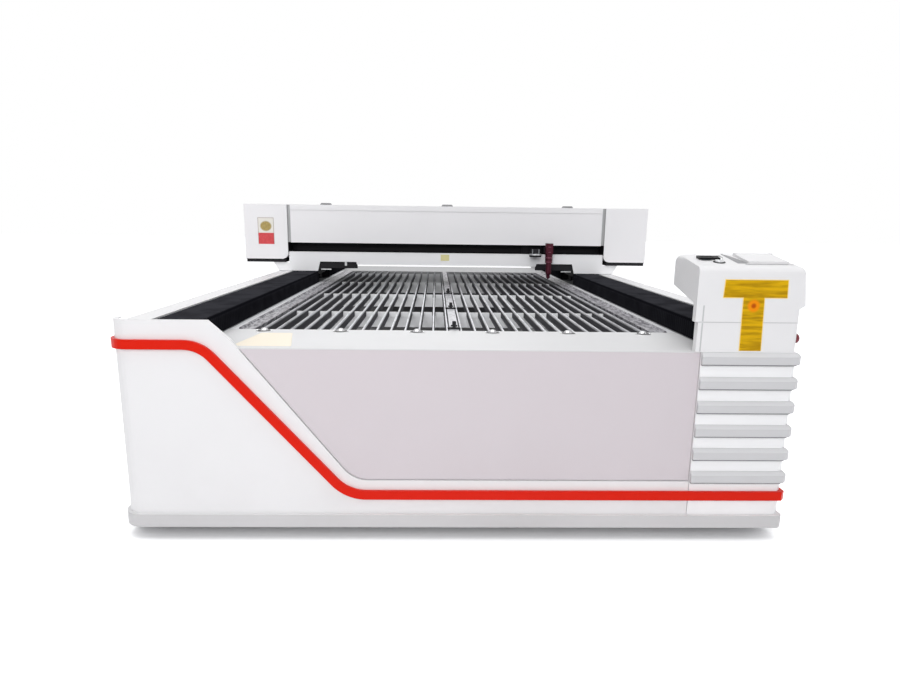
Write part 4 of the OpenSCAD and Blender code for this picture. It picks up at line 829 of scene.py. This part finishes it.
rim = calc(tree, "MULTIPLY", calc(tree, "MAXIMUM", edge_in, edge_top), 0.7)
feed(tree, skin, {"Base Color": mixed(tree, rim, tone, (0.30, 0.19, 0.15, 1)), "Roughness": 0.4})
label_t = 0.0004
bm = bmesh.new()
film(bm, [(x0, end_y, z0), (x1, end_y, z0), (x1, end_y, z1), (x0, end_y, z1)], (0, -label_t, 0))
piece("end_cover_label", bm, fields, "gantry")
x0, x1, z0, z1 = -0.034, 0.014, 0.688, 0.722
bm = bmesh.new()
film(bm, [(x0, bridge_y, z0), (x1, bridge_y, z0), (x1, bridge_y, z1), (x0, bridge_y, z1)], (0, -label_t, 0))
piece("bridge_label", bm,
      coated("pale_yellow_label", (0.80, 0.73, 0.36), rough=0.4, peel=0.01, dust=0.1), "gantry")

# Black rubber caps close the tube, with a brass terminal at each end.
low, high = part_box("laser_tube")
middle = (low + high) / 2
cap_x, terminal_x = 0.735, 0.700
caps, terminals = bmesh.new(), bmesh.new()
for s in (-1, 1):
    x = s * terminal_x
    pin(caps, (s * cap_x, middle.y, middle.z), (s, 0, 0), 0.0412, 0.024, r=0.002, segments=40)
    pin(terminals, (x, middle.y, middle.z + 0.038), up, 0.005, 0.010, r=0.0008, segments=6)
    pin(terminals, (x, middle.y, middle.z + 0.046), up, 0.0028, 0.007, r=0.0005, segments=12)
piece("tube_caps", caps, black_plastic, "gantry")
piece("tube_terminals", terminals, brass, "gantry")

# ---------------------------------------------------------------- laser head
# The carriage runs on the beam's rail; its black arms hold the camera pod and the mirror block, in
# which the anodised crimson lens tube slides to set the focus.
anodised = drawn("crimson_anodised", (0.062, 0.002, 0.013), (30, 30, 240), rough=0.3, depth=0.35,
                 metallic=0.55)
finish_node(black_oxide, "x_carriage", "camera_pod")
finish_node(anodised, "head_body", "lens_tube")
low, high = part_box("camera_pod")
pod = (low + high) / 2
pod_r, plate_z, stud_z = (high.x - low.x) / 2 + 0.0006, 0.7268, 0.7340
bm = bmesh.new()
pin(bm, (pod.x, pod.y, plate_z), up, pod_r, 0.0078, r=0.0012, segments=48)
piece("pod_plate", bm, galvanised, "carriage")
bm = bmesh.new()
for s in (-1, 1):
    pin(bm, (pod.x + s * 0.018, pod.y - 0.012, stud_z), up, 0.0032, 0.026, r=0.0008, segments=16)
piece("pod_studs", bm, primer, "carriage")
low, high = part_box("head_body")
sleeve = (low + high) / 2
bm = bmesh.new()
for z in (0.690, 0.712, 0.716, 0.744, 0.772):
    pin(bm, (sleeve.x, sleeve.y - 0.001, z), up, 0.0206, 0.0022, r=0.0006, segments=40)
piece("sleeve_rings", bm,
      drawn("worn_crimson", (0.30, 0.10, 0.15), (30, 30, 60), rough=0.3, metallic=0.5), "carriage")
low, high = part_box("lens_tube")
tube = (low + high) / 2
bm = bmesh.new()
pin(bm, (tube.x, tube.y, low.z), up, 0.0030, 0.008, tip=0.0046, segments=24)
piece("nozzle_tip", bm, brass, "lens tube")
bm = bmesh.new()
pin(bm, (tube.x, tube.y, low.z + 0.006), up, 0.0105, 0.020, r=0.0015, segments=32)
piece("nozzle_collar", bm, anodised, "lens tube")

low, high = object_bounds()
